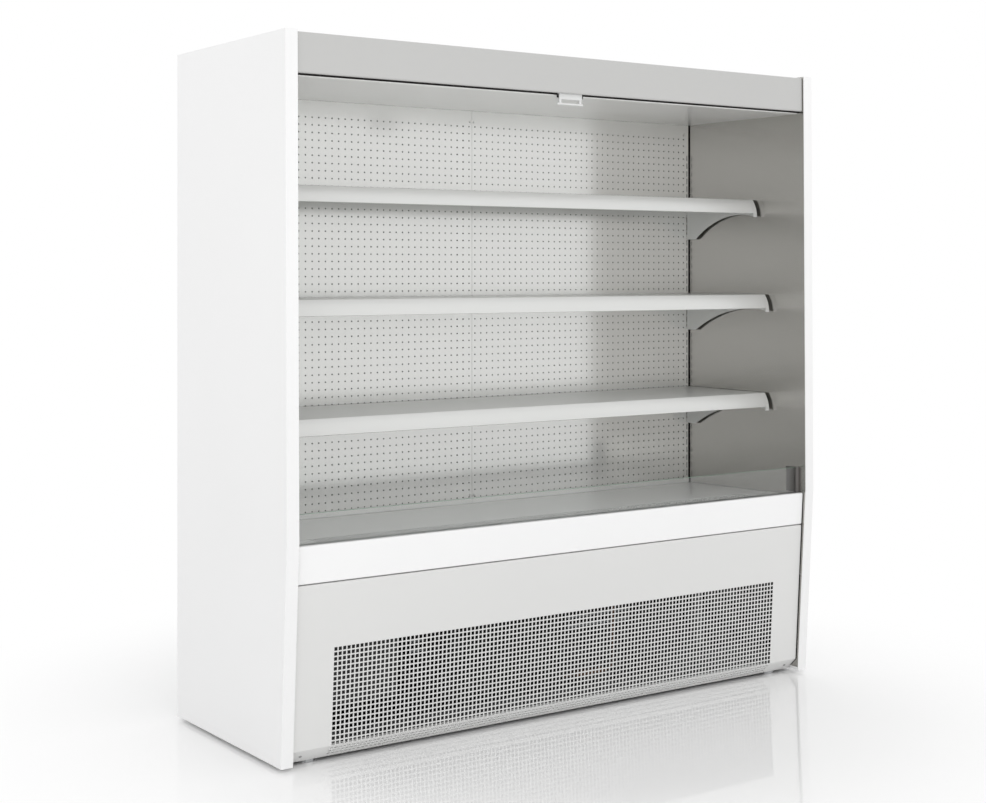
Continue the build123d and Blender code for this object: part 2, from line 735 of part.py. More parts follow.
def blind_handle():
    """A moulded block under the bar with a grip bar hanging from it on two short arms."""
    depth = (BLIND_DEPTH - HANDLE_DEPTH / 2, BLIND_DEPTH + HANDLE_DEPTH / 2)
    grip_depth = (BLIND_DEPTH - GRIP_SIZE / 2, BLIND_DEPTH + GRIP_SIZE / 2)
    low = BAR_BOTTOM - HANDLE_HEIGHT
    half = HANDLE_WIDTH / 2
    body = block((HANDLE_CENTRE - half, HANDLE_CENTRE + half), depth, (low, BAR_BOTTOM))
    body = fillet(body.edges().filter_by(Axis.Y), HANDLE_ROUND)
    grip_top = low - GRIP_DROP
    grip = block((HANDLE_CENTRE - GRIP_WIDTH / 2, HANDLE_CENTRE + GRIP_WIDTH / 2), grip_depth,
                 (grip_top - GRIP_SIZE, grip_top))
    for side in (-1, 1):
        x = HANDLE_CENTRE + side * (half - HANDLE_ROUND - GRIP_ARM / 2)
        body += block((x - GRIP_ARM / 2, x + GRIP_ARM / 2), grip_depth, (grip_top, low))
    return body + grip


def blind_side_plates():
    """Two plates on the end linings that carry the roller's pins."""
    depth = (ROLLER_DEPTH - BLIND_PLATE_HALF, ROLLER_DEPTH + BLIND_PLATE_HALF)
    z = (ROLLER_HEIGHT - BLIND_PLATE_HALF, ROLLER_HEIGHT + BLIND_PLATE_HALF)
    plate = block((INNER - BLIND_PLATE, INNER), depth, z)
    hole = cross_rod(ROLLER_PIN_RADIUS + PIN_GAP, INNER - BLIND_PLATE - 1, INNER + 1,
                     ROLLER_DEPTH, ROLLER_HEIGHT)
    return both_sides(plate - hole)


# Shelves

def lip_path(top, lip_depth, drop, reach):
    """The curve of a shelf's front in (Y, Z): it leaves at a lean and ends upright."""
    start, end = side_points([(lip_depth, top), (lip_depth + reach, top - drop)])
    return TangentArc(end, start, tangent=(0, 1))


def shelf_tray(name):
    """A folded tray: rear flange, top, curved lip with a hem, and a stiffening rib below."""
    top, lip_depth = SHELVES[name]
    middle = top - SHEET / 2
    back, front = y_at(SHELF_BACK), y_at(lip_depth)
    lip_half = SLOT_X + BRACKET_THICKNESS / 2 - NOSE_WIDTH - NOSE_GAP
    lip = lip_path(middle, lip_depth, LIP_DROP - SHEET / 2, LIP_REACH)
    tail = y_at(lip_depth + LIP_REACH)
    low = top - LIP_DROP
    hem = Line((tail, low), (tail + LIP_HEM, low))
    path = Line((back, middle - SHELF_FLANGE), (back, middle)) + Line((back, middle), (front, middle))
    tray = along_x(trace(path + lip + hem, line_width=SHEET), -lip_half, lip_half)
    end = INNER - SHELF_END_GAP
    for side in (-1, 1):
        x = sorted((side * lip_half, side * end))
        tray += block(x, (SHELF_BACK - SHEET / 2, lip_depth - SHEET), (top - SHEET, top))
    rib_depth = (SHELF_BACK + lip_depth) / 2
    rib = [
        (rib_depth - RIB_WIDTH / 2, top - SHEET),
        (rib_depth - RIB_WIDTH / 2, top - RIB_HEIGHT),
        (rib_depth + RIB_WIDTH / 2, top - RIB_HEIGHT),
        (rib_depth + RIB_WIDTH / 2, top - SHEET),
    ]
    section = trace(Polyline(*side_points(rib)), line_width=SHEET)
    return tray + along_x(section, -lip_half + RIB_WIDTH, lip_half - RIB_WIDTH)


def hook_slots(top):
    """The heights of the two slots that a bracket under a shelf top hooks into."""
    first = ceil((SLOT_TOP - top + HOOK_MARGIN) / SLOT_PITCH)
    return [SLOT_TOP - row * SLOT_PITCH for row in (first, first + HOOK_SPACING)]


def shelf_bracket(name, side):
    """A cantilever plate with an arched lower edge, two hooks behind and a folded nose."""
    top, lip_depth = SHELVES[name]
    seat = top - SHEET - SEAT_GAP
    back = BACK_DEPTH + BRACKET_BACK_GAP
    heel = (back + HEEL_LENGTH, top - HEEL_DROP)
    crown = (lip_depth - CROWN_SETBACK, top - CROWN_DROP)
    nose_tip = (lip_depth + NOSE_REACH, top - NOSE_DROP)
    heel_yz, crown_yz, tip_yz = side_points([heel, crown, nose_tip])
    back_low, back_top, front_top = side_points([(back, heel[1]), (back, seat), (lip_depth, seat)])
    nose = TangentArc(tip_yz, front_top, tangent=(0, 1))
    outline = (
        Line(back_low, back_top) + Line(back_top, front_top) + nose
        + TangentArc(crown_yz, tip_yz, tangent=(-1, 0))
        + TangentArc(crown_yz, heel_yz, tangent=(1, 0))
        + Line(heel_yz, back_low)
    )
    inside = SLOT_X - BRACKET_THICKNESS / 2
    outside = SLOT_X + BRACKET_THICKNESS / 2
    bracket = along_x(make_face(outline.edges()), inside, outside)
    flange = trace(nose, line_width=2 * BRACKET_THICKNESS)
    bracket += along_x(flange, outside - NOSE_WIDTH, outside) & along_x(
        make_face(outline.edges()), outside - NOSE_WIDTH, outside)
    behind = BACK_DEPTH - THICK_SHEET - HOOK_GAP
    for height in hook_slots(top):
        low = height - SLOT_HEIGHT / 2 + SEAT_GAP
        bracket += block((inside, outside), (behind - HOOK_THICKNESS, back + 1),
                         (low, low + HOOK_HEIGHT))
        bracket += block((inside, outside), (behind - HOOK_THICKNESS, behind),
                         (low - HOOK_DROP, low + HOOK_HEIGHT))
    return bracket if side > 0 else mirror(bracket, Plane.YZ)


# Deck, return grille, bumper and glass

def deck_flanged(start, end, start_low, end_low, half):
    """A sheet on the deck's slope with both long edges turned down."""
    def on_slope(depth):
        return (depth, deck_top(depth) - SHEET / 2)
    first, last = start + SHEET / 2, end - SHEET / 2
    return folded([(first, start_low), on_slope(first), on_slope(last), (last, end_low)], SHEET, half)


def deck_panel():
    """The loose base tray of the cabinet, standing on its flanges."""
    start = BACK_DEPTH + DECK_BACK_GAP
    lows = [deck_top(depth) - DECK_FLANGE for depth in (start, DECK_FRONT)]
    return deck_flanged(start, DECK_FRONT, *lows, INNER - DECK_END_GAP)


def return_grille():
    """The strip in front of the deck whose rows of slots take the air back into the tub."""
    low = deck_top(RETURN_START) - DECK_FLANGE
    grille = deck_flanged(RETURN_START, RETURN_FRONT, low, TUB_TOP, INNER)
    z = (low + DECK_FLANGE / 2, deck_top(RETURN_FRONT) + 1)
    bay = (2 * INNER - HOLE_PITCH) / RETURN_BAYS
    slots = []
    for i in range(RETURN_BAYS):
        left = -INNER + HOLE_PITCH + i * bay
        for row in range(RETURN_ROWS):
            near = RETURN_START + RETURN_FIRST_ROW + row * HOLE_PITCH - HOLE_SIDE / 2
            slots.append(block((left, left + bay - HOLE_PITCH), (near, near + HOLE_SIDE), z))
    return grille - slots


def deck_bearers():
    """Four bars from the rear wall to the tub's front, which carry the deck and the grille."""
    def under(depth):
        return deck_top(depth) - DECK_FLANGE - SEAT_GAP
    start, end = REAR_WALL_THICKNESS, TUB_INSIDE
    section = [
        (start, under(start)),
        (end, under(end)),
        (end, under(end) - BEARER_HEIGHT),
        (start, under(start) - BEARER_HEIGHT),
    ]
    bars = []
    outer = UPRIGHT_INNER - BEARER_END_GAP
    for right in (outer, BEARER_X + BEARER_WIDTH / 2):
        bars.append(both_sides(slab(section, right - BEARER_WIDTH, right)))
    return Compound(bars)


def glass_ledge():
    """The extruded ledge on the tub's upstand, with a groove that holds the glass."""
    ledge = block((-INNER, INNER), (RETURN_FRONT, LEDGE_FRONT), (TUB_TOP, LEDGE_TOP))
    half = GLASS_THICKNESS / 2 + GLASS_GAP
    groove = (GLASS_DEPTH - half, GLASS_DEPTH + half)
    return ledge - block((-INNER - 1, INNER + 1), groove, (LEDGE_TOP - GLASS_GROOVE, LEDGE_TOP + 1))


def front_glass():
    half = INNER - GLASS_PLATE - GLASS_END_GAP
    depth = (GLASS_DEPTH - GLASS_THICKNESS / 2, GLASS_DEPTH + GLASS_THICKNESS / 2)
    return block((-half, half), depth, (LEDGE_TOP - GLASS_GROOVE, LEDGE_TOP + GLASS_RISE))


def glass_end_clips():
    """A plate on each end lining, with a channel that holds the end of the glass."""
    glass_half = GLASS_THICKNESS / 2 + GLASS_GAP
    front = GLASS_DEPTH + glass_half + GLASS_CHANNEL_WALL
    z = (LEDGE_TOP, LEDGE_TOP + GLASS_RISE)
    plate_x = INNER - GLASS_PLATE
    clip = block((plate_x, INNER), (front - GLASS_PLATE_LENGTH, front), z)
    back_cheek = GLASS_DEPTH - glass_half
    for near, far in ((back_cheek - GLASS_CHANNEL_WALL, back_cheek), (GLASS_DEPTH + glass_half, front)):
        clip += block((plate_x - GLASS_CHANNEL, plate_x), (near, far), z)
    return both_sides(clip)


def bumper():
    """The folded front rail between the glass ledge and the lower front."""
    half_sheet = BUMPER_SHEET / 2
    low = LOWER_TOP + BUMPER_GAP + half_sheet
    high = LEDGE_TOP - half_sheet
    path = [
        (TUB_FRONT, low),
        (front_face(low) - half_sheet, low),
        (front_face(high) - half_sheet, high),
        (LEDGE_FRONT, high),
    ]
    return folded(path, BUMPER_SHEET, FRONT_HALF)


# Perforated lower front

def field_columns():
    return [(column - (FIELD_COLUMNS - 1) / 2) * HOLE_PITCH for column in range(FIELD_COLUMNS)]


def face_cut(inset, distance, x, width, length):
    """A cutter through the face, its middle at a distance up the sheet from the bend."""
    depth, height = face_point(inset, distance)
    cutter = Box(width, 2 * THIN_SHEET, length)
    return Pos(x, y_at(depth), height) * Rot(X=degrees(FACE_LEAN)) * cutter


def toe_cut(inset, distance, x, width, length):
    """A cutter through the toe, its middle at a distance down the sheet from the bend."""
    depth, height = toe_point(inset, distance)
    cutter = Box(width, 2 * THIN_SHEET, length)
    return Pos(x, y_at(depth), height) * Rot(X=90 - TOE_ANGLE) * cutter


def lower_front_panel():
    """The folded lower front, bent under as a toe. Each column of square holes in its face is a
    long slot, which the backing sheet's rows divide into squares. The toe has rows of slots."""
    inset = THIN_SHEET / 2
    seat = LOWER_TOP - inset
    corner = face_point(inset, (seat - face_point(inset, 0)[1]) / cos(FACE_LEAN))
    toe = toe_point(inset, TOE_LENGTH)
    path = [(TUB_FRONT, seat), corner, bend_point(inset), toe, (toe[0], toe[1] + TOE_FLANGE)]
    panel = folded(path, THIN_SHEET, FRONT_HALF, (BEND, BEND, TOE_FOLD))
    face_length = (FACE_ROWS - 1) * HOLE_PITCH
    face_middle = FACE_FIRST_ROW + face_length / 2
    cuts = []
    for x in field_columns():
        cuts.append(face_cut(inset, face_middle, x, HOLE_SIDE, face_length + HOLE_SIDE))
    web = HOLE_PITCH - HOLE_SIDE
    bay = (2 * FIELD_HALF + web) / TOE_BAYS
    for i in range(TOE_BAYS):
        x = (i - (TOE_BAYS - 1) / 2) * bay
        for row in range(TOE_ROWS):
            distance = TOE_FIRST_ROW + row * HOLE_PITCH
            cuts.append(toe_cut(inset, distance, x, bay - web, HOLE_SIDE))
    return panel - cuts


def lower_front_backing():
    """The sheet behind the face's field, with one long slot for each row of holes."""
    inset = THIN_SHEET + BACKING_SHEET / 2
    face_end = FACE_FIRST_ROW + (FACE_ROWS - 1) * HOLE_PITCH + HOLE_SIDE / 2 + BACKING_MARGIN
    toe_end = TOE_FIRST_ROW - HOLE_SIDE / 2 - BACKING_TOE_GAP
    path = [face_point(inset, face_end), bend_point(inset), toe_point(inset, toe_end)]
    bend = BEND - (THIN_SHEET + BACKING_SHEET) / 2
    backing = folded(path, BACKING_SHEET, FIELD_HALF + BACKING_MARGIN, bend)
    cuts = []
    for row in range(FACE_ROWS):
        distance = FACE_FIRST_ROW + row * HOLE_PITCH
        cuts.append(face_cut(inset, distance, 0, 2 * FIELD_HALF, HOLE_SIDE))
    return backing - cuts


def toe_screws():
    """The heads of the two screws at the ends of the toe, square to it at its middle."""
    depth, height = toe_point(0, TOE_LENGTH / 2)
    place = Pos(TOE_SCREW_X, y_at(depth), height) * Rot(X=180 - TOE_ANGLE)
    return both_sides(place * extrude(RegularPolygon(TOE_SCREW_RADIUS, 6), SCREW_HEAD_HEIGHT))


# Fin coils and fans

def fin_coil(x, depth, z, fins, groove, bends, foot):
    """A block of upright fins between two end plates, with return bends out of its right end."""
    width = x[1] - x[0]
    pitch = width / fins
    coil = block(x, depth, z)
    cuts = []
    for i in range(fins):
        start = x[0] + COIL_PLATE + i * pitch
        cuts.append(block((start, start + pitch - 2 * COIL_PLATE), (depth[1] - groove, depth[1] + 1),
                          (z[0] + COIL_PLATE, z[1] - COIL_PLATE)))
    coil -= cuts
    for left in (x[0] - COIL_PLATE, x[1]):
        coil += block((left, left + COIL_PLATE), depth, (foot, z[1] + COIL_PLATE))
    rise = (z[1] - z[0]) / bends
    middle = y_at((depth[0] + depth[1]) / 2)
    reach = rise / 4
    mitre = reach / 2
    line = Polyline(
        (0, -reach), (mitre, -reach), (reach, -mitre), (reach, mitre), (mitre, reach), (0, reach),
    )
    half_ring = trace(line, line_width=2 * TUBE_RADIUS)
    for i in range(bends):
        centre = Pos(x[1] + COIL_PLATE, middle, z[0] + (i + 0.5) * rise)
        coil += centre * extrude(Plane.XZ * half_ring, TUBE_RADIUS, both=True)
    return coil


def evaporator():
    back = REAR_WALL_THICKNESS + COIL_BACK_GAP
    low = TUB_FLOOR + COIL_LIFT
    return fin_coil((-COIL_HALF, COIL_HALF), (back, back + COIL_LENGTH), (low, low + COIL_HEIGHT),
                    COIL_FINS, COIL_GROOVE, COIL_BENDS, TUB_FLOOR)


def condenser():
    half = CONDENSER_WIDTH / 2
    return fin_coil((CONDENSER_X - half, CONDENSER_X + half), (CONDENSER_BACK, CONDENSER_FRONT),
                    (CONDENSER_BOTTOM, CONDENSER_BOTTOM + CONDENSER_HEIGHT),
                    CONDENSER_FINS, CONDENSER_GROOVE, CONDENSER_BENDS, TRAY_TOP)


def fan_rotor(x, depth, height, radius, hub_radius, length, shaft_end):
    """A hub with a flat for each blade and one between, on a shaft that reaches to the motor.
    The pitched blades' tips are trimmed in short flats."""
    reach = radius - hub_radius
    limit = Pos(0, 0, -length / 2) * extrude(RegularPolygon(radius, 4 * FAN_BLADES), length)
    chord = length * 2
    rotor = Pos(0, 0, -length / 2) * extrude(RegularPolygon(hub_radius, 2 * FAN_BLADES), length)
    for i in range(FAN_BLADES):
        blade = Pos(hub_radius + reach / 2, 0, 0) * Rot(X=BLADE_PITCH) * Box(
            reach + hub_radius, chord, BLADE_THICKNESS)
        rotor += Rot(Z=i * 360 / FAN_BLADES) * (blade & limit)
    rotor = Pos(x, y_at(depth), height) * Rot(X=90) * rotor
    ends = sorted((depth, shaft_end))
    return rotor + rod(SHAFT_RADIUS, x, height, *ends)


def fan_motor(x, plate_depth, height, radius, length, side):
    """A motor on a strap across the fan's opening; side is 1 in front of the plate, -1 behind."""
    standoff = length / 2 + STRAP_GAP
    reach = radius + FAN_TIP_GAP + THICK_SHEET
    half = STRAP_WIDTH / 2

    def span(near, far):
        return sorted((plate_depth + side * near, plate_depth + side * far))
    z = (height - half, height + half)
    legs = [block(sorted((x + s * reach, x + s * (reach + THICK_SHEET))),
                  span(THICK_SHEET, standoff + THICK_SHEET), z) for s in (-1, 1)]
    strap = block((x - reach, x + reach), span(standoff, standoff + THICK_SHEET), z)
    motor = rod(MOTOR_RADIUS, x, height,
                *span(standoff + THICK_SHEET, standoff + THICK_SHEET + MOTOR_LENGTH), flats=16)
    hole = rod(SHAFT_RADIUS + SHAFT_GAP, x, height,
               *span(standoff - 1, standoff + THICK_SHEET + MOTOR_LENGTH / 2))
    return strap + legs[0] + legs[1] + motor - hole


def shaft_end(plate_depth, length, side):
    """How far a fan's shaft reaches into its motor."""
    return plate_depth + side * (length / 2 + STRAP_GAP + THICK_SHEET + MOTOR_LENGTH / 4)


def evaporator_fan_places():
    return [("left", -FAN_SPACING), ("middle", 0.0), ("right", FAN_SPACING)]


def evaporator_fan_plate():
    """The upright plate across the tub that the evaporator's fans blow through."""
    depth = (FAN_PLATE_DEPTH - THICK_SHEET, FAN_PLATE_DEPTH)
    plate = block((-INNER, INNER), depth, (TUB_FLOOR, TUB_FLOOR + FAN_PLATE_HEIGHT))
    for _, x in evaporator_fan_places():
        plate -= rod(FAN_RADIUS + FAN_TIP_GAP, x, FAN_HEIGHT, depth[0] - 1, depth[1] + 1)
    return plate


def evaporator_fan_motors():
    return Compound([
        fan_motor(x, FAN_PLATE_DEPTH - THICK_SHEET, FAN_HEIGHT, FAN_RADIUS, FAN_LENGTH, 1)
        for _, x in evaporator_fan_places()
    ])


def evaporator_fan(x):
    end = shaft_end(FAN_PLATE_DEPTH - THICK_SHEET, FAN_LENGTH, 1)
    return fan_rotor(x, FAN_PLATE_DEPTH - THICK_SHEET, FAN_HEIGHT, FAN_RADIUS, FAN_HUB_RADIUS,
                     FAN_LENGTH, end)


def condenser_shroud():
    """The box behind the condenser that leads its air to the fan's round opening."""
    half = CONDENSER_WIDTH / 2
    x = (CONDENSER_X - half, CONDENSER_X + half)
    z = (CONDENSER_BOTTOM, CONDENSER_BOTTOM + CONDENSER_HEIGHT)
    shell = block(x, (SHROUD_BACK, CONDENSER_BACK), z)
    inner_x = (x[0] + THICK_SHEET, x[1] - THICK_SHEET)
    inner_z = (z[0] + THICK_SHEET, z[1] - THICK_SHEET)
    shell -= block(inner_x, (SHROUD_BACK + THICK_SHEET, CONDENSER_BACK + 1), inner_z)
    opening = rod(CONDENSER_FAN_RADIUS + FAN_TIP_GAP, CONDENSER_X, CONDENSER_MIDDLE,
                  SHROUD_BACK - 1, SHROUD_BACK + THICK_SHEET + 1)
    return shell - opening


def condenser_fan_motor():
    return fan_motor(CONDENSER_X, SHROUD_BACK + THICK_SHEET, CONDENSER_MIDDLE,
                     CONDENSER_FAN_RADIUS, CONDENSER_FAN_LENGTH, -1)


def condenser_fan():
    end = shaft_end(SHROUD_BACK + THICK_SHEET, CONDENSER_FAN_LENGTH, -1)
    return fan_rotor(CONDENSER_X, SHROUD_BACK + THICK_SHEET, CONDENSER_MIDDLE,
                     CONDENSER_FAN_RADIUS, CONDENSER_HUB_RADIUS, CONDENSER_FAN_LENGTH, end)


# Compressor, pipes and the rest of the machine

def compressor():
    """A hermetic shell with sloping shoulders and 32 flats round it, on a foot plate with four
    rubber grommets."""
    radius, height = COMPRESSOR_RADIUS, COMPRESSOR_HEIGHT
    shell = extrude(RegularPolygon(radius, 32), height)
    shell = chamfer(shell.faces().sort_by(Axis.Z)[-1].edges(), COMPRESSOR_SHOULDER)
    place = Pos(COMPRESSOR_X, y_at(COMPRESSOR_DEPTH), COMPRESSOR_BASE + RAIL_WALL)
    body = place * shell
    side = 2 * radius
    body += Pos(COMPRESSOR_X, y_at(COMPRESSOR_DEPTH), COMPRESSOR_BASE + RAIL_WALL / 2) * Box(
        side + 2 * GROMMET_INSET, side, RAIL_WALL)
    offset = radius - GROMMET_INSET
    grommet = extrude(RegularPolygon(GROMMET_RADIUS, 8), GROMMET_HEIGHT)
    for i in (-1, 1):
        for j in (-1, 1):
            middle = y_at(COMPRESSOR_DEPTH + j * offset)
            body += Pos(COMPRESSOR_X + i * radius, middle, TRAY_TOP) * grommet
    for x in (COMPRESSOR_X, COMPRESSOR_X + SUCTION_OFFSET):
        body += post(STUB_RADIUS, x, COMPRESSOR_DEPTH, COMPRESSOR_BASE + height / 2, STUB_TOP)
    return body


def pipe(points):
    """A twelve-sided pipe through (x, depth, height) points, with a short run at each corner."""
    corners = [Vector(x, y_at(depth), z) for x, depth, z in points]
    path = [corners[0]]
    for before, corner, after in zip(corners, corners[1:], corners[2:]):
        path.append(corner + (before - corner).normalized() * PIPE_BEND)
        path.append(corner + (after - corner).normalized() * PIPE_BEND)
    line = Polyline(*path, corners[-1])
    section = Plane(line @ 0, z_dir=line % 0) * RegularPolygon(PIPE_RADIUS, 12)
    return sweep(section, path=line, transition=Transition.RIGHT)


def refrigerant_pipes():
    """Discharge, suction and liquid lines, up to the tub where they pass to the evaporator."""
    condenser_end = CONDENSER_X + CONDENSER_WIDTH / 2 + COIL_PLATE
    side_depth = CONDENSER_FRONT - STUB_RADIUS
    high = TUB_BOTTOM - DISCHARGE_GAP
    discharge = pipe([
        (COMPRESSOR_X, COMPRESSOR_DEPTH, STUB_TOP),
        (COMPRESSOR_X, COMPRESSOR_DEPTH, high),
        (COMPRESSOR_X, side_depth, high),
        (condenser_end, side_depth, high),
    ])
    suction_x = COMPRESSOR_X + SUCTION_OFFSET
    suction = pipe([(suction_x, COMPRESSOR_DEPTH, STUB_TOP), (suction_x, COMPRESSOR_DEPTH, TUB_BOTTOM)])
    low = TRAY_TOP + LIQUID_LIFT
    drier_start = condenser_end + DRIER_GAP
    drier_end = drier_start + DRIER_LENGTH
    feed = pipe([(condenser_end, side_depth, low), (drier_start, side_depth, low)])
    liquid = pipe([
        (drier_end, side_depth, low),
        (drier_end + DRIER_GAP, side_depth, low),
        (drier_end + DRIER_GAP, side_depth, TUB_BOTTOM),
    ])
    return Compound([discharge, suction, feed, liquid, filter_drier()])


def filter_drier():
    """The copper can in the liquid line."""
    start = CONDENSER_X + CONDENSER_WIDTH / 2 + COIL_PLATE + DRIER_GAP
    return cross_rod(DRIER_RADIUS, start, start + DRIER_LENGTH,
                     CONDENSER_FRONT - STUB_RADIUS, TRAY_TOP + LIQUID_LIFT)


def drain_pipe():
    """The tub's drain: a square collar on the floor and a pipe down to the drip tray."""
    low = TRAY_TOP + DRIP_TRAY_HEIGHT + DRAIN_LIFT
    half = DRAIN_RADIUS + DRAIN_COLLAR
    high = TUB_FLOOR + SHEET
    pipe_body = post(DRAIN_RADIUS, DRAIN_X, DRAIN_DEPTH, low, high)
    pipe_body += block((DRAIN_X - half, DRAIN_X + half), (DRAIN_DEPTH - half, DRAIN_DEPTH + half),
                       (TUB_FLOOR, high))
    return pipe_body - post(DRAIN_RADIUS - DRAIN_WALL, DRAIN_X, DRAIN_DEPTH, low - 1, high + 1)


def drip_tray():
    """The open tray on the machine floor that meltwater dries off from."""
    x = (DRAIN_X - DRIP_TRAY_WIDTH / 2, DRAIN_X + DRIP_TRAY_WIDTH / 2)
    depth = (DRAIN_DEPTH + DRAIN_RADIUS * 2 - DRIP_TRAY_LENGTH, DRAIN_DEPTH + DRAIN_RADIUS * 2)
    tray = block(x, depth, (TRAY_TOP, TRAY_TOP + DRIP_TRAY_HEIGHT))
    inner_x = (x[0] + THICK_SHEET, x[1] - THICK_SHEET)
    inner_depth = (depth[0] + THICK_SHEET, depth[1] - THICK_SHEET)
    return tray - block(inner_x, inner_depth, (TRAY_TOP + THICK_SHEET, TRAY_TOP + DRIP_TRAY_HEIGHT + 1))


def control_box():
    """The electrical box behind the perforated front, hung from the tub by its back plate."""
    left = -INNER + CONTROL_BOX_EDGE
    x = (left, left + CONTROL_BOX_WIDTH)
    front = DEPTH - CONTROL_BOX_SETBACK
    high = TUB_BOTTOM - CONTROL_BOX_DROP
    box = block(x, (front - CONTROL_BOX_LENGTH, front), (high - CONTROL_BOX_HEIGHT, high))
    box = fillet(box.faces().sort_by(Axis.Y)[0].edges(), CONTROL_BOX_ROUND)
    back = front - CONTROL_BOX_LENGTH
    return box + block(x, (back - THICK_SHEET, back), (high - CONTROL_BOX_HEIGHT, TUB_BOTTOM))


def build_pieces():
    """Every piece of the fridge by its name."""
    pieces = {
        "end_panel_left": end_panel(-1),
        "end_panel_right": end_panel(1),
        "side_linings": side_linings(),
        "rear_wall": rear_wall(),
        "roof_panel": roof_panel(),
        "tub": tub(),
        "base_frame": base_frame(),
        "machine_tray": machine_tray(),
        "rear_cover": rear_cover(),
        "cable_gland": cable_gland(),
        "back_panel_left": back_panel(-1),
        "back_panel_right": back_panel(1),
        "back_panel_screws": back_screws(),
        "centre_post": centre_post(),
        "uprights": uprights(),
        "ceiling_panel": ceiling_panel(),
        "air_outlet": air_outlet(),
        "fascia_panel": fascia_panel(),
        "blind_roller": blind_roller(),
        "blind_cloth_roll": blind_cloth_roll(),
        "blind_cloth": blind_cloth(),
        "blind_bottom_bar": blind_bar(),
        "blind_handle": blind_handle(),
        "blind_side_plates": blind_side_plates(),
        "deck_panel": deck_panel(),
        "return_air_grille": return_grille(),
        "deck_bearers": deck_bearers(),
        "glass_ledge": glass_ledge(),
        "front_glass": front_glass(),
        "glass_end_clips": glass_end_clips(),
        "bumper": bumper(),
        "lower_front_panel": lower_front_panel(),
        "lower_front_backing": lower_front_backing(),
        "toe_screws": toe_screws(),
        "evaporator_coil": evaporator(),
        "evaporator_fan_plate": evaporator_fan_plate(),
        "evaporator_fan_motors": evaporator_fan_motors(),
        "condenser_coil": condenser(),
        "condenser_shroud": condenser_shroud(),
        "condenser_fan_motor": condenser_fan_motor(),
        "condenser_fan_rotor": condenser_fan(),
        "compressor": compressor(),
        "refrigerant_pipes": refrigerant_pipes(),
        "drain_pipe": drain_pipe(),
        "drip_tray": drip_tray(),
        "control_box": control_box(),
    }
    for name in SHELVES:
        pieces[f"shelf_{name}"] = shelf_tray(name)
        pieces[f"brackets_{name}"] = Compound([shelf_bracket(name, side) for side in (-1, 1)])
    for name, x in evaporator_fan_places():
        pieces[f"evaporator_fan_{name}"] = evaporator_fan(x)
    for end, depth in (("front", FRONT_RAIL_DEPTH), ("rear", REAR_RAIL_DEPTH)):
        for side, x in (("left", -FOOT_X), ("right", FOOT_X)):
            pieces[f"foot_{end}_{side}"] = levelling_foot(x, depth)
    return pieces


os.makedirs("parts", exist_ok=True)
for piece_name, piece in build_pieces().items():
    export_step(piece, f"parts/{piece_name}.step")
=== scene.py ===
from math import atan2, ceil, cos, pi, radians, sin, tan

import bmesh
import bpy
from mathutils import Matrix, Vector


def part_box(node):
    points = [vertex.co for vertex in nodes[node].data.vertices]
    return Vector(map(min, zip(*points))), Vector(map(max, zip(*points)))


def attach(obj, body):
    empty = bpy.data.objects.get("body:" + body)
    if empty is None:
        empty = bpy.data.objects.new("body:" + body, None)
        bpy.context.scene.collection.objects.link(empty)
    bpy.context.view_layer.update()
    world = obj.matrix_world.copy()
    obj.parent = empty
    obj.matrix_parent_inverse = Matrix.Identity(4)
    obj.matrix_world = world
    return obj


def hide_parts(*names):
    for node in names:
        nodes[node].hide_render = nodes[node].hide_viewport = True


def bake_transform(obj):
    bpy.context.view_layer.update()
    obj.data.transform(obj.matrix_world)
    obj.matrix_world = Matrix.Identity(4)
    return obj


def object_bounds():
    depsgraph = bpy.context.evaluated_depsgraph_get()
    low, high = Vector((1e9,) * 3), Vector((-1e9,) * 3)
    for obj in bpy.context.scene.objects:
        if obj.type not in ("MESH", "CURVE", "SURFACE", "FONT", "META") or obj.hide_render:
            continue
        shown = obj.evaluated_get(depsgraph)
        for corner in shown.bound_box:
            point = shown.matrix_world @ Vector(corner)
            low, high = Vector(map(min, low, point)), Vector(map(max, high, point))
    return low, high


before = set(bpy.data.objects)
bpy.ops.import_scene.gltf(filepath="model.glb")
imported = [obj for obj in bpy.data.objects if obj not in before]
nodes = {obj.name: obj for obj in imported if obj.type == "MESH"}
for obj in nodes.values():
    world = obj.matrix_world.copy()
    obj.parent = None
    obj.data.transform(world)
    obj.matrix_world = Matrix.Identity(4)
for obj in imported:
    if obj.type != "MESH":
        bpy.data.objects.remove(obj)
cad_low, cad_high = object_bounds()


# End panels: rigid foam between skins of white powder-coated steel. The front edge leans out to a
# nose at deck height and falls back to the floor, and the edges of the outer skin are folded round.

NOSE_HEIGHT = 0.611
END_LIFT = 0.010
TOP_SETBACK = 0.0095
BASE_SETBACK = 0.0355
END_ROUND = 0.0025


def forward(depth):
    """The Y of a depth measured forwards from the back face."""
    return cad_high.y - depth


def panel_front(height):
    """The depth of an end panel's front edge at a height."""
    depth = cad_high.y - cad_low.y
    if height >= NOSE_HEIGHT:
        return depth - TOP_SETBACK * (height - NOSE_HEIGHT) / (cad_high.z - NOSE_HEIGHT)
    return depth - BASE_SETBACK * (NOSE_HEIGHT - height) / (NOSE_HEIGHT - END_LIFT)


def linked(material, kind, **inputs):
    """A new node of a material, with values for some of its inputs."""
    node = material.node_tree.nodes.new(kind)
    for name, value in inputs.items():
        node.inputs[name.replace("_", " ")].default_value = value
    return node


def new_material(name, roughness, metallic=0.0, specular=0.5):
    """A material with its shader, and a place to read patterns from."""
    material = bpy.data.materials.new(name)
    material.use_nodes = True
    shader = material.node_tree.nodes["Principled BSDF"]
    shader.inputs["Roughness"].default_value = roughness
    shader.inputs["Metallic"].default_value = metallic
    shader.inputs["Specular IOR Level"].default_value = specular
    place = linked(material, "ShaderNodeTexCoord")
    return material, shader, place.outputs["Object"]


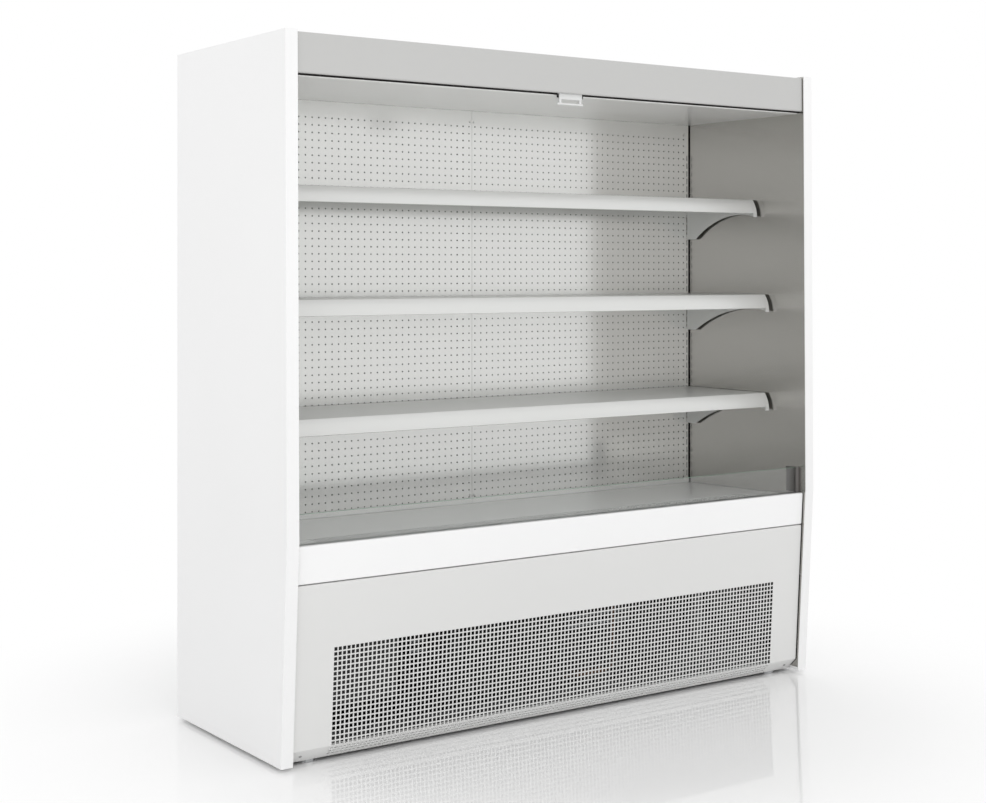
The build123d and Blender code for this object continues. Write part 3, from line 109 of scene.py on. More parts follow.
def clouded(material, shader, place, dark, light, scale, detail=3.0):
    """Colours a shader from dark to light by a soft noise."""
    links = material.node_tree.links
    noise = linked(material, "ShaderNodeTexNoise", Scale=scale, Detail=detail)
    mix = linked(material, "ShaderNodeMix")
    mix.data_type = "RGBA"
    mix.inputs[6].default_value = (*dark, 1)
    mix.inputs[7].default_value = (*light, 1)
    links.new(place, noise.inputs["Vector"])
    links.new(noise.outputs["Fac"], mix.inputs["Factor"])
    links.new(mix.outputs[2], shader.inputs["Base Color"])
    return mix


def grained(material, shader, place, scale, strength, distance):
    """Gives a shader a fine bump."""
    links = material.node_tree.links
    noise = linked(material, "ShaderNodeTexNoise", Scale=scale, Detail=2.0)
    bump = linked(material, "ShaderNodeBump", Strength=strength, Distance=distance)
    links.new(place, noise.inputs["Vector"])
    links.new(noise.outputs["Fac"], bump.inputs["Height"])
    links.new(bump.outputs["Normal"], shader.inputs["Normal"])


def coated(name, colour, roughness=0.35):
    """A powder coat: a faint cloudiness in the colour and the fine orange peel of a baked coat."""
    material, shader, place = new_material(name, roughness)
    clouded(material, shader, place, [c * 0.97 for c in colour], colour, 2.2)
    grained(material, shader, place, 420.0, 0.06, 0.0004)
    return material


def settle(piece):
    """Turns a piece's modifiers into its mesh."""
    seen = piece.evaluated_get(bpy.context.evaluated_depsgraph_get())
    piece.data = bpy.data.meshes.new_from_object(seen)
    piece.modifiers.clear()


MERGE_DISTANCE = 0.00001
SHARP_ANGLE = radians(40)


def shown(bm, name, material, body, slot, *replaced, wall=0.0):
    """Makes a piece of a finished mesh, gives a sheet its wall, and puts it in place of CAD nodes."""
    bmesh.ops.remove_doubles(bm, verts=bm.verts[:], dist=MERGE_DISTANCE)
    bmesh.ops.recalc_face_normals(bm, faces=bm.faces[:])
    mesh = bpy.data.meshes.new(name)
    bm.to_mesh(mesh)
    bm.free()
    piece = bpy.data.objects.new(name, mesh)
    bpy.context.scene.collection.objects.link(piece)
    if wall:
        solid = piece.modifiers.new("wall", "SOLIDIFY")
        solid.thickness = wall
        solid.offset = 0
        solid.use_even_offset = True
        settle(piece)
    piece.data.shade_smooth()
    piece.data.set_sharp_from_angle(angle=SHARP_ANGLE)
    piece.modifiers.new("flat_runs", "WEIGHTED_NORMAL").keep_sharp = True
    settle(piece)
    piece.data.name = name
    piece.data.materials.append(material)
    if body:
        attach(piece, body)
    if replaced:
        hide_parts(*replaced)
    return piece


white_coat = coated("white_powder_coat", (0.93, 0.93, 0.93), 0.30)

for side, node in ((-1, "end_panel_left"), (1, "end_panel_right")):
    low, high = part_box(node)
    inner = high.x if side < 0 else low.x
    outline = [
        (forward(0), END_LIFT),
        (forward(0), cad_high.z),
        (forward(panel_front(cad_high.z)), cad_high.z),
        (forward(panel_front(NOSE_HEIGHT)), NOSE_HEIGHT),
        (forward(panel_front(END_LIFT)), END_LIFT),
    ]
    bm = bmesh.new()
    face = bm.faces.new([bm.verts.new((inner, y, z)) for y, z in outline])
    drawn_face = bmesh.ops.extrude_face_region(bm, geom=[face])["geom"]
    outer_verts = [v for v in drawn_face if isinstance(v, bmesh.types.BMVert)]
    bmesh.ops.translate(bm, verts=outer_verts, vec=(side * (high.x - low.x), 0, 0))
    outer_edges = [e for e in drawn_face if isinstance(e, bmesh.types.BMEdge)]
    bmesh.ops.bevel(bm, geom=outer_edges, offset=END_ROUND, segments=3, profile=0.5,
                    affect="EDGES", material=-1)
    shown(bm, node + "_skin", white_coat, "cabinet", "white_side", node)


# Side linings: sheets of semi-polished stainless steel on the inside of the end panels, ground
# upright, which mirror the shelf ends softly. The same steel lines the base beside the machine.

def stretched(material, place, scale):
    """A place pulled out along some axes, for a pattern with a direction."""
    mapping = linked(material, "ShaderNodeMapping", Scale=scale)
    material.node_tree.links.new(place, mapping.inputs["Vector"])
    return mapping.outputs["Vector"]


def ground_steel(name, colour, roughness, scale, grain):
    """Ground steel: long scratches along one axis, in the colour and in the gloss."""
    material, shader, place = new_material(name, roughness, metallic=1.0)
    pulled = stretched(material, place, scale)
    clouded(material, shader, pulled, [c * 0.93 for c in colour], colour, 14.0, 6.0)
    grained(material, shader, pulled, 60.0, grain, 0.0002)
    return material


lining_steel = ground_steel("ground_stainless", (0.50, 0.487, 0.465), 0.26, (1.0, 12.0, 1.0), 0.05)
zinc_steel = ground_steel("galvanized_sheet", (0.58, 0.60, 0.61), 0.42, (3.0, 3.0, 3.0), 0.10)


def faced(material, *names):
    """Gives CAD nodes a material."""
    for name in names:
        mesh = nodes[name].data
        mesh.materials.clear()
        mesh.materials.append(material)


faced(lining_steel, "side_linings")

APRON = 0.0008
APRON_REAR = 0.030
APRON_LOW = 0.020
APRON_HIGH = 0.3285
APRON_SETBACK = 0.0015
low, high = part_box("end_panel_right")
bm = bmesh.new()
for side in (-1, 1):
    outline = [(forward(APRON_REAR), APRON_LOW), (forward(APRON_REAR), APRON_HIGH),
               (forward(panel_front(APRON_HIGH) - APRON_SETBACK), APRON_HIGH),
               (forward(panel_front(APRON_LOW) - APRON_SETBACK), APRON_LOW)]
    face = bm.faces.new([bm.verts.new((side * (low.x - APRON), y, z)) for y, z in outline])
    drawn_face = bmesh.ops.extrude_face_region(bm, geom=[face])["geom"]
    bmesh.ops.translate(bm, verts=[v for v in drawn_face if isinstance(v, bmesh.types.BMVert)],
                        vec=(side * APRON, 0, 0))
shown(bm, "base_side_linings", lining_steel, "cabinet", "stainless")


# Insulated shell: the rear wall, the roof and the tub, foamed between skins of zinc-coated steel.
# The rear wall is painted near black but for its outer face, and the tub's underside, over the
# machine, black: painted shade, so that the holes in the back and in the grille read dark.

OUTER_FACE = 0.0003


def paint_shade_beyond(material, shader, place, pale, axis, side, limit, dark):
    """Paints shade: turns a shader's clouded colour to a dark shade colour on one side of a plane across
    an axis.
    """
    links = material.node_tree.links
    along = linked(material, "ShaderNodeSeparateXYZ")
    beyond = linked(material, "ShaderNodeMath")
    beyond.operation = side
    beyond.inputs[1].default_value = limit
    painted = linked(material, "ShaderNodeMix")
    painted.data_type = "RGBA"
    painted.inputs[7].default_value = (*dark, 1)
    links.new(place, along.inputs["Vector"])
    links.new(along.outputs[axis], beyond.inputs[0])
    links.new(beyond.outputs[0], painted.inputs["Factor"])
    links.new(pale.outputs[2], painted.inputs[6])
    links.new(painted.outputs[2], shader.inputs["Base Color"])


low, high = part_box("rear_wall")
liner_skin, shader, place = new_material("rear_wall_skin", 0.42, 0.35)
pale = clouded(liner_skin, shader, place, (0.52, 0.535, 0.54), (0.60, 0.61, 0.615), 18.0, 6.0)
# Painted shade: behind its outer face the rear wall is near black, where it shows through the back's
# holes.
paint_shade_beyond(liner_skin, shader, place, pale, "Y", "LESS_THAN", high.y - OUTER_FACE, (0.10, 0.10, 0.098))
grained(liner_skin, shader, place, 60.0, 0.05, 0.0002)
faced(liner_skin, "rear_wall")
faced(zinc_steel, "roof_panel")

TUB_SHADE_BELOW = 0.3305

tub_skin, shader, place = new_material("tub_skin", 0.55, specular=0.2)
pale = clouded(tub_skin, shader, place, (0.50, 0.51, 0.50), (0.56, 0.57, 0.56), 5.0)
# Painted shade: below this height the tub's skin is black, so the grille's holes read dark.
paint_shade_beyond(tub_skin, shader, place, pale, "Z", "LESS_THAN", TUB_SHADE_BELOW, (0.008, 0.008, 0.008))
faced(tub_skin, "tub")


# Base: a welded frame of black channels on four screw-in feet, a zinc tray that carries the
# machine, made near black as painted shade, and a rear cover, its inner side painted black as
# painted shade, with pressed hoods over its louvres and the gland that a cable would leave by.

black_coat = coated("black_coat", (0.018, 0.018, 0.019), 0.55)
foot_steel = ground_steel("zinc_plate", (0.52, 0.53, 0.54), 0.35, (1.0, 1.0, 6.0), 0.05)


def moulded(name, colour, roughness):
    """Moulded plastic: a soft variation of colour and a fine spark-eroded grain."""
    material, shader, place = new_material(name, roughness)
    clouded(material, shader, place, [c * 0.94 for c in colour], colour, 30.0)
    grained(material, shader, place, 1600.0, 0.10, 0.0003)
    return material


black_plastic = moulded("black_plastic", (0.03, 0.03, 0.032), 0.5)
# Painted shade: this zinc, on the machine tray and the drip tray, is made near black, far darker than
# zinc, so the space behind the grille reads dark.
shade_black_zinc = ground_steel("dull_zinc_sheet", (0.07, 0.072, 0.075), 0.55, (2.0, 2.0, 2.0), 0.08)
faced(black_coat, "base_frame")
faced(shade_black_zinc, "machine_tray")
low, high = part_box("rear_cover")
cover_skin, shader, place = new_material("rear_cover_coat", 0.50, specular=0.2)
pale = clouded(cover_skin, shader, place, (0.50, 0.51, 0.51), (0.56, 0.57, 0.57), 5.0)
# Painted shade: the rear cover is black behind its outer face.
paint_shade_beyond(cover_skin, shader, place, pale, "Y", "LESS_THAN", high.y - OUTER_FACE, (0.008, 0.008, 0.008))
faced(cover_skin, "rear_cover")
faced(black_plastic, "cable_gland")
for end in ("front", "rear"):
    faced(foot_steel, f"foot_{end}_left", f"foot_{end}_right")

LOUVRE_LENGTH = 0.36
LOUVRE_SPACING = 0.56
LOUVRE_FIRST = 0.097
LOUVRE_PITCH = 0.032
LOUVRE_ROWS = 6
HOOD_REACH = 0.012
HOOD_WALL = 0.0012
HOOD_MARGIN = 0.004
HOOD_BELOW = 0.012
HOOD_ABOVE = 0.013
HOOD_ROUND = 0.0035
OPEN_NORMAL = -0.3
INSIDE_COVER = 0.0004


def solid_box(bm, corner, opposite, round_edges=0.0):
    """A box between two corners, with its edges rounded over."""
    size = Vector(opposite) - Vector(corner)
    made = bmesh.ops.create_cube(bm, size=1.0)["verts"]
    bmesh.ops.scale(bm, verts=made, vec=size)
    bmesh.ops.translate(bm, verts=made, vec=Vector(corner) + size / 2)
    if round_edges:
        edges = list({edge for vert in made for edge in vert.link_edges})
        bmesh.ops.bevel(bm, geom=edges, offset=round_edges, segments=3, profile=0.5,
                        affect="EDGES", material=-1)


bm = bmesh.new()
for group in (-1, 0, 1):
    for row in range(LOUVRE_ROWS):
        x = group * LOUVRE_SPACING
        z = LOUVRE_FIRST + row * LOUVRE_PITCH
        solid_box(bm, (x - LOUVRE_LENGTH / 2 - HOOD_MARGIN, high.y - HOOD_MARGIN, z - HOOD_BELOW),
                  (x + LOUVRE_LENGTH / 2 + HOOD_MARGIN, high.y + HOOD_REACH, z + HOOD_ABOVE),
                  HOOD_ROUND)
open_side = [face for face in bm.faces if face.normal.z < OPEN_NORMAL
             or face.calc_center_median().y < high.y - INSIDE_COVER]
bmesh.ops.delete(bm, geom=open_side, context="FACES")
shown(bm, "rear_louvre_hoods", zinc_steel, "cabinet", "galvanized", wall=HOOD_WALL)


# Back: two sheets punched all over with small round holes for the cold air, screwed to a post at
# the seam and to the slotted uprights that the shelves hang on. A pale metallic lacquer half
# mirrors what stands in front, and the uprights are painted near black behind their faces: painted shade
# in the slots.

BACK_PITCH = 0.02308
BACK_COLUMNS = 40
BACK_ROWS = 53
BACK_FIRST_ROW = 0.597
BACK_HOLE = 0.0025
BACK_CELL = 0.009
BACK_SHEET = 0.0015
BACK_RETURN = 0.020
BEND_STEP = radians(10)


def drawn(bm, row, step):
    """Draws a row of vertices and edges straight on, and gives the row at its end."""
    made = bmesh.ops.spin(bm, geom=row, cent=(0, 0, 0), axis=(1, 0, 0), dvec=step, angle=0,
                          steps=1, use_duplicate=False)
    return made["geom_last"]


def turned(bm, row, centre, angle):
    """Draws a row round an axis along X at a (y, z) centre, and gives the row at its end."""
    steps = max(2, ceil(abs(angle) / BEND_STEP))
    made = bmesh.ops.spin(bm, geom=row, cent=(0, *centre), axis=(1, 0, 0), dvec=(0, 0, 0),
                          angle=angle, steps=steps, use_duplicate=False)
    return made["geom_last"]


def row_faces(row):
    """The faces that end at a row."""
    return [e.link_faces[0] for e in row if isinstance(e, bmesh.types.BMEdge)]


def within(runs, columns):
    """The faces of some runs that lie in a column, from where the columns start and end."""
    spans = [sorted(span) for span in zip(columns[::2], columns[1::2])]
    middles = {round((a + b) / 2, 5) for a, b in spans}
    return [f for run in runs for f in run if round(f.calc_center_median().x, 5) in middles]


def folded_sheet(corners, bends, xs):
    """A sheet folded along X: a row of edges at xs drawn along (y, z) corners, each bent to its
    radius. Gives the mesh and the faces of each straight run."""
    bm = bmesh.new()
    verts = [bm.verts.new((x, *corners[0])) for x in xs]
    row = verts + [bm.edges.new(pair) for pair in zip(verts, verts[1:])]
    runs = []
    used = 0.0
    at = Vector(corners[0])
    for i, end in enumerate(corners[1:]):
        leg = Vector(end) - Vector(corners[i])
        turn, radius = 0.0, 0.0
        if i < len(bends):
            after = Vector(corners[i + 2]) - Vector(end)
            turn = atan2(leg.x * after.y - leg.y * after.x, leg.dot(after))
            radius = bends[i]
        tangent = radius * tan(abs(turn) / 2)
        along = leg.normalized()
        step = along * (leg.length - used - tangent)
        row = drawn(bm, row, (0, *step))
        runs.append(row_faces(row))
        at = at + step
        used = tangent
        if radius:
            side = 1 if turn > 0 else -1
            centre = at + Vector((-along.y, along.x)) * radius * side
            row = turned(bm, row, centre, turn)
            at = Vector(end) + after.normalized() * tangent
    return bm, runs


def edges_of(middles, size):
    """Where cells of a size start and end along a line, from their middles."""
    return [middle + half for middle in middles for half in (-size / 2, size / 2)]


def drilled(bm, cells, radius):
    """Cuts a round hole through the middle of each cell."""
    edges = list({e for cell in cells for e in cell.edges})
    bmesh.ops.bisect_edges(bm, edges=edges, cuts=1)
    bmesh.ops.inset_individual(bm, faces=cells, thickness=radius, depth=0)
    for cell in cells:
        centre = cell.calc_center_median()
        for vert in cell.verts:
            vert.co = centre + (vert.co - centre).normalized() * radius
    bmesh.ops.delete(bm, geom=cells, context="FACES_ONLY")


def lacquered(name, colour, roughness, metallic):
    """A pale metallic lacquer on bright sheet: fine flakes in the colour, and a half mirror."""
    material, shader, place = new_material(name, roughness, metallic)
    clouded(material, shader, place, [c * 0.965 for c in colour], colour, 700.0, 2.0)
    grained(material, shader, place, 300.0, 0.02, 0.0002)
    return material


back_coat = lacquered("back_lacquer", (0.85, 0.855, 0.835), 0.16, 0.55)
for side, node in ((-1, "back_panel_left"), (1, "back_panel_right")):
    low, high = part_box(node)
    seam, outer = (high.x, low.x) if side < 0 else (low.x, high.x)
    y = low.y + BACK_SHEET / 2
    columns = edges_of([side * BACK_PITCH * (k + 0.5) for k in range(BACK_COLUMNS)], side * BACK_CELL)
    rows = edges_of([BACK_FIRST_ROW + BACK_PITCH * k for k in range(BACK_ROWS)], BACK_CELL)
    corners = [(y, z) for z in (low.z, *rows, high.z)]
    bm, runs = folded_sheet(corners, [0] * len(rows), [seam, *columns, outer - side * BACK_SHEET / 2])
    drilled(bm, within(runs[1::2], columns), BACK_HOLE)
    edge = [e for e in bm.edges if e.is_boundary and abs(e.verts[0].co.x - outer) < BACK_SHEET
            and abs(e.verts[1].co.x - outer) < BACK_SHEET]
    turned_back = bmesh.ops.extrude_edge_only(bm, edges=edge)["geom"]
    bmesh.ops.translate(bm, vec=(0, BACK_RETURN, 0),
                        verts=[v for v in turned_back if isinstance(v, bmesh.types.BMVert)])
    shown(bm, node + "_sheet", back_coat, "cabinet", "back_grey", node, wall=BACK_SHEET)

screw_steel = ground_steel("screw_steel", (0.45, 0.45, 0.45), 0.35, (1.0, 1.0, 1.0), 0.05)
faced(black_coat, "centre_post")

UPRIGHT_FACE = 0.0013

low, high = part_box("uprights")
upright_coat, shader, place = new_material("upright_lacquer", 0.12, 0.55)
pale = clouded(upright_coat, shader, place, (0.79, 0.795, 0.775), (0.82, 0.825, 0.805), 700.0, 2.0)
# Painted shade: behind its front face the upright is near black, so its slots read dark.
paint_shade_beyond(upright_coat, shader, place, pale, "Y", "GREATER_THAN", low.y + UPRIGHT_FACE,
         (0.012, 0.011, 0.011))
faced(upright_coat, "uprights")
faced(screw_steel, "back_panel_screws")


# Head: a ceiling sheet under the air duct, a moulded outlet strip that straightens the falling
# air, and the folded fascia with its rolled bottom edge. The fascia has a grey powder coat, the ceiling
# a pale lacquer.

ceiling_coat = lacquered("ceiling_lacquer", (0.90, 0.90, 0.885), 0.30, 0.38)
SHEET = 0.0015
FOLD = 0.003

low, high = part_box("ceiling_panel")
middle = low.z + SHEET / 2
corners = [
    (high.y - SHEET / 2, high.z),
    (high.y - SHEET / 2, middle),
    (low.y + SHEET / 2, middle),
    (low.y + SHEET / 2, high.z),
]
bm, _ = folded_sheet(corners, [FOLD, FOLD], [low.x, high.x])
shown(bm, "ceiling_sheet", ceiling_coat, "cabinet", "light_grey", "ceiling_panel", wall=SHEET)

# A thin black strip before the ceiling's front edge stands in for the shadow in the gap there: painted
# shade.
SHADE_STRIP_THICKNESS = 0.0012
SHADE_STRIP_RISE = 0.003

gap_shade, shader, place = new_material("black_felt", 0.95)
clouded(gap_shade, shader, place, (0.008, 0.006, 0.006), (0.02, 0.016, 0.016), 1400.0)
grained(gap_shade, shader, place, 1400.0, 0.4, 0.0005)
bm = bmesh.new()
solid_box(bm, (low.x, low.y - SHADE_STRIP_THICKNESS, low.z + SHADE_STRIP_RISE), (high.x, low.y, high.z))
shown(bm, "blind_felt_strip", gap_shade, "cabinet", "black_plastic")

outlet_plastic = moulded("pale_outlet_plastic", (0.74, 0.75, 0.74), 0.45)
faced(outlet_plastic, "air_outlet")

FASCIA_SETBACK = 0.0063
FASCIA_ROLL = 0.0055
FASCIA_ROUND = 0.96
FASCIA_HEM = 0.012
low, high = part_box("fascia_panel")
roll = FASCIA_ROLL - SHEET / 2
face_top = forward(panel_front(high.z) - FASCIA_SETBACK - SHEET / 2)
face_bottom = forward(panel_front(low.z) - FASCIA_SETBACK - SHEET / 2)
corners = [
    (high.y, high.z - SHEET / 2),
    (face_top, high.z - SHEET / 2),
    (face_bottom, low.z + SHEET / 2),
    (face_bottom + 2 * roll, low.z + SHEET / 2),
    (face_bottom + 2 * roll, low.z + FASCIA_HEM),
]
bm, _ = folded_sheet(corners, [FOLD, roll * FASCIA_ROUND, roll * FASCIA_ROUND], [low.x, high.x])
fascia_coat = coated("fascia_coat", (0.555, 0.555, 0.545), 0.36)
shown(bm, "fascia_sheet", fascia_coat, "cabinet", "light_grey", "fascia_panel", wall=SHEET)


# Night blind: a woven cloth on a sprung roller behind the fascia, with an aluminium bottom bar
# and a moulded handle that hangs below the ceiling's edge.

CLOTH = 0.0006
CLOTH_LAYER = 0.0007
CLOTH_ROWS = 24

cloth_weave, shader, place = new_material("blind_weave", 0.85)
clouded(cloth_weave, shader, place, (0.56, 0.57, 0.57), (0.62, 0.63, 0.63), 40.0)
links = cloth_weave.node_tree.links
threads = []
for scale in ((1.0, 0.0, 0.0), (0.0, 0.0, 1.0)):
    thread = linked(cloth_weave, "ShaderNodeTexWave", Scale=520.0, Distortion=0.4)
    links.new(stretched(cloth_weave, place, scale), thread.inputs["Vector"])
    thread.bands_direction = "DIAGONAL"
    threads.append(thread)
crossing = linked(cloth_weave, "ShaderNodeMath")
crossing.operation = "MULTIPLY"
raised = linked(cloth_weave, "ShaderNodeBump", Strength=0.4, Distance=0.0003)
links.new(threads[0].outputs["Fac"], crossing.inputs[0])
links.new(threads[1].outputs["Fac"], crossing.inputs[1])
links.new(crossing.outputs[0], raised.inputs["Height"])
links.new(raised.outputs["Normal"], shader.inputs["Normal"])

low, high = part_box("blind_cloth_roll")
axis_y, axis_z = (low.y + high.y) / 2, (low.z + high.z) / 2
cloth_low, cloth_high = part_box("blind_cloth")
cloth_y = (cloth_low.y + cloth_high.y) / 2
core_low, core_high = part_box("blind_roller")
core_radius = (core_high.z - core_low.z) / 2
wound = axis_y - cloth_y
half_turns = 2 * int((wound - core_radius - CLOTH) / CLOTH_LAYER)
bm = bmesh.new()
verts = [bm.verts.new((x, cloth_y, axis_z)) for x in (low.x, high.x)]
row = [*verts, bm.edges.new(verts)]
for k in range(half_turns):
    row = turned(bm, row, (axis_y + k % 2 * CLOTH_LAYER / 2, axis_z), -pi)
roll = shown(bm, "blind_wound_cloth", cloth_weave, "blind_reel", "blind_fabric", "blind_cloth_roll",
             wall=CLOTH)

steps = [axis_z + (cloth_low.z - axis_z) * k / CLOTH_ROWS for k in range(CLOTH_ROWS + 1)]
bm, _ = folded_sheet([(cloth_y, z) for z in steps], [0] * (CLOTH_ROWS - 1), [low.x, high.x])
drop = shown(bm, "blind_free_cloth", cloth_weave, None, "blind_fabric", "blind_cloth", wall=CLOTH)
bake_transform(drop)

bar_metal = ground_steel("satin_aluminium", (0.66, 0.67, 0.67), 0.35, (0.5, 8.0, 8.0), 0.04)
faced(bar_metal, "blind_roller", "blind_bottom_bar")
faced(zinc_steel, "blind_side_plates")

GRIP_SIZE = 0.006
GRIP_DROP = 0.010
HANDLE_WIDTH = 0.086
ARM_WIDTH = 0.008
STUD = 0.005
ARM_INSET = 0.0015
HANDLE_ROUND = 0.0015
GRIP_ROUND = 0.0018
SMALL_ROUND = 0.001
handle_plastic = moulded("pale_handle_plastic", (0.78, 0.785, 0.78), 0.32)
stud_rubber = moulded("handle_stud_rubber", (0.012, 0.011, 0.011), 0.7)
low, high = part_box("blind_handle")
middle_x = (low.x + high.x) / 2
middle_y = (low.y + high.y) / 2
body_low = low.z + GRIP_SIZE + GRIP_DROP
left, right = middle_x - HANDLE_WIDTH / 2, middle_x + HANDLE_WIDTH / 2
bm = bmesh.new()
solid_box(bm, (left, low.y, body_low), (right, high.y, high.z), HANDLE_ROUND)
solid_box(bm, (low.x, middle_y - GRIP_SIZE / 2, low.z),
          (high.x, middle_y + GRIP_SIZE / 2, low.z + GRIP_SIZE), GRIP_ROUND)
for start in (left + ARM_INSET, right - ARM_INSET - ARM_WIDTH):
    solid_box(bm, (start, middle_y - GRIP_SIZE / 2, low.z + GRIP_SIZE / 2),
              (start + ARM_WIDTH, middle_y + GRIP_SIZE / 2, body_low + SMALL_ROUND), SMALL_ROUND)
shown(bm, "blind_handle_moulding", handle_plastic, "blind_bar", "grey_plastic", "blind_handle")
bm = bmesh.new()
for x in (left, right):
    solid_box(bm, (x - STUD, middle_y - STUD / 2, high.z - 3 * STUD),
              (x + STUD, middle_y + STUD / 2, high.z - STUD), SMALL_ROUND)
shown(bm, "blind_handle_studs", stud_rubber, "blind_bar", "black_plastic")


# Shelves: a folded tray with a rounded lip, hemmed below, on two brackets that hook into the
# uprights. Each bracket is an arched plate with its nose folded over to close the lip's end.

LIP_DROP = 0.046
LIP_REACH = 0.018
LIP_RADIUS = 0.060
LIP_HEM = 0.009
LIP_KNEE = 1.083
TRAY_BEND = 0.7
HEM_BEND = 0.4
SAME_PLACE = 1e-5
SHELF_FLANGE = 0.020
LIP_HALF = 0.9125
SHELVES = {"top": (1.5710, 0.452), "middle": (1.2505, 0.510), "bottom": (0.9190, 0.510)}
shelf_coat = lacquered("shelf_lacquer", (0.75, 0.755, 0.74), 0.34, 0.30)

for name, (top, lip_depth) in SHELVES.items():
    low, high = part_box(f"shelf_{name}")
    middle = top - SHEET / 2
    lip_front = forward(lip_depth + LIP_REACH)
    knee = middle - LIP_REACH * LIP_KNEE
    corners = [
        (high.y - SHEET / 2, middle - SHELF_FLANGE),
        (high.y - SHEET / 2, middle),
        (forward(lip_depth), middle),
        (lip_front, knee),
        (lip_front, top - LIP_DROP),
        (lip_front + LIP_HEM, top - LIP_DROP),
    ]
    bm, runs = folded_sheet(corners, [FOLD, FOLD * TRAY_BEND, LIP_RADIUS, FOLD * HEM_BEND],
                            [-LIP_HALF, LIP_HALF])
    for x in (-LIP_HALF, LIP_HALF):
        ear = [e for e in bm.edges if e.is_boundary and e in runs[1][0].edges
               and all(abs(v.co.x - x) < SAME_PLACE for v in e.verts)]
        geom = bmesh.ops.extrude_edge_only(bm, edges=ear)["geom"]
        bmesh.ops.translate(bm, vec=((high.x - LIP_HALF) * (1 if x > 0 else -1), 0, 0),
                            verts=[v for v in geom if isinstance(v, bmesh.types.BMVert)])
    shown(bm, f"shelf_{name}_tray", shelf_coat, f"shelf_{name}", "light_grey", f"shelf_{name}",
          wall=SHEET)

faced(shelf_coat, "brackets_top", "brackets_middle", "brackets_bottom")


# Deck: a loose tray over the evaporator, on four bars, with the punched return-air strip in front
# of it. Both slope up to the front.

HOLE_PITCH = 0.01357
HOLE_SIDE = 0.0086
FIELD_COLUMNS = 121
RETURN_ROWS = 7
RETURN_FIRST_ROW = 0.0088
DECK_RISE = 0.013
DECK_FLANGE = 0.014
RETURN_TAIL = 0.005

deck_coat = lacquered("deck_lacquer", (0.75, 0.75, 0.74), 0.32, 0.40)
faced(deck_coat, "deck_panel")
faced(zinc_steel, "deck_bearers")

low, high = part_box("return_air_grille")
deck_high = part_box("deck_panel")[1]
slope = DECK_RISE / (deck_high.y - low.y)


def strip_point(y):
    """A (y, z) on the middle of the return-air strip."""
    return y, high.z - SHEET / 2 - slope * (y - low.y)


back = strip_point(high.y - SHEET / 2)
front = strip_point(low.y + SHEET / 2)
rows = edges_of([high.y - RETURN_FIRST_ROW - k * HOLE_PITCH for k in range(RETURN_ROWS)], -HOLE_SIDE)
corners = [(back[0], back[1] - DECK_FLANGE), back, *[strip_point(y) for y in rows], front,
           (front[0], front[1] - RETURN_TAIL)]
columns = edges_of([(k - (FIELD_COLUMNS - 1) / 2) * HOLE_PITCH for k in range(FIELD_COLUMNS)], HOLE_SIDE)
bm, runs = folded_sheet(corners, [FOLD, *[0] * len(rows), FOLD], [low.x, *columns, high.x])
holes = within(runs[2:2 + len(rows):2], columns)
bmesh.ops.delete(bm, geom=holes, context="FACES")
shown(bm, "return_air_strip", deck_coat, "cabinet", "light_grey", "return_air_grille", wall=SHEET)


# Front: an extruded ledge that holds the glass riser between two end clips, and the white bumper
# folded round under it.

ledge_metal = ground_steel("ledge_aluminium", (0.62, 0.63, 0.63), 0.38, (0.5, 8.0, 8.0), 0.04)
clip_plastic = moulded("clip_plastic", (0.17, 0.16, 0.155), 0.40)
bumper_coat = coated("bumper_coat", (0.96, 0.96, 0.96), 0.30)
faced(ledge_metal, "glass_ledge")
faced(clip_plastic, "glass_end_clips")
faced(bumper_coat, "bumper")

GLASS_ARRIS = 0.0006
glass, shader, place = new_material("riser_glass", 0.0)
clouded(glass, shader, place, (0.97, 0.985, 0.98), (0.98, 0.99, 0.985), 3.0)
shader.inputs["Transmission Weight"].default_value = 1.0
shader.inputs["IOR"].default_value = 1.45
glass_edge, shader, place = new_material("glass_edge", 0.25)
clouded(glass_edge, shader, place, (0.16, 0.27, 0.20), (0.22, 0.34, 0.26), 60.0)
low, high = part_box("front_glass")
bm = bmesh.new()
solid_box(bm, low, high, GLASS_ARRIS)
pane = shown(bm, "riser_glass_pane", glass, "cabinet", "glass", "front_glass")
pane.data.materials.append(glass_edge)
for face in pane.data.polygons:
    face.material_index = int(face.center.z > high.z - GLASS_ARRIS)


# Lower front: one folded sheet punched with a field of square holes in front of the condenser,
# bent under as a toe with four more rows, and screwed through the toe to the base.

FACE_ROWS = 20
FACE_FIRST_ROW = 0.0062
TOE_ROWS = 4
TOE_FIRST_ROW = 0.0066
TOE_LENGTH = 0.057
TOE_FLANGE = 0.034
TOE_ANGLE = radians(45)
TOE_FOLD = 0.0015
TOE_BEND = 0.0020
BEND_HEIGHT = 0.047
FRONT_SETBACK = 0.0095
LOWER_SHEET = 0.0012
FACE_HOLE = 0.0100

low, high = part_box("lower_front_panel")
lean = atan2(BASE_SETBACK, NOSE_HEIGHT - END_LIFT)
bend_depth = panel_front(BEND_HEIGHT) - FRONT_SETBACK
inset = LOWER_SHEET / 2


def face_point(distance):
    """A (y, z) on the face's middle, a distance up the sheet from the bend."""
    depth = bend_depth + distance * sin(lean) - inset * cos(lean)
    return forward(depth), BEND_HEIGHT + distance * cos(lean) + inset * sin(lean)


def toe_point(distance):
    """A (y, z) on the toe's middle, a distance down the sheet from the bend."""
    depth = bend_depth - distance * cos(TOE_ANGLE) - inset * sin(TOE_ANGLE)
    return forward(depth), BEND_HEIGHT - distance * sin(TOE_ANGLE) + inset * cos(TOE_ANGLE)


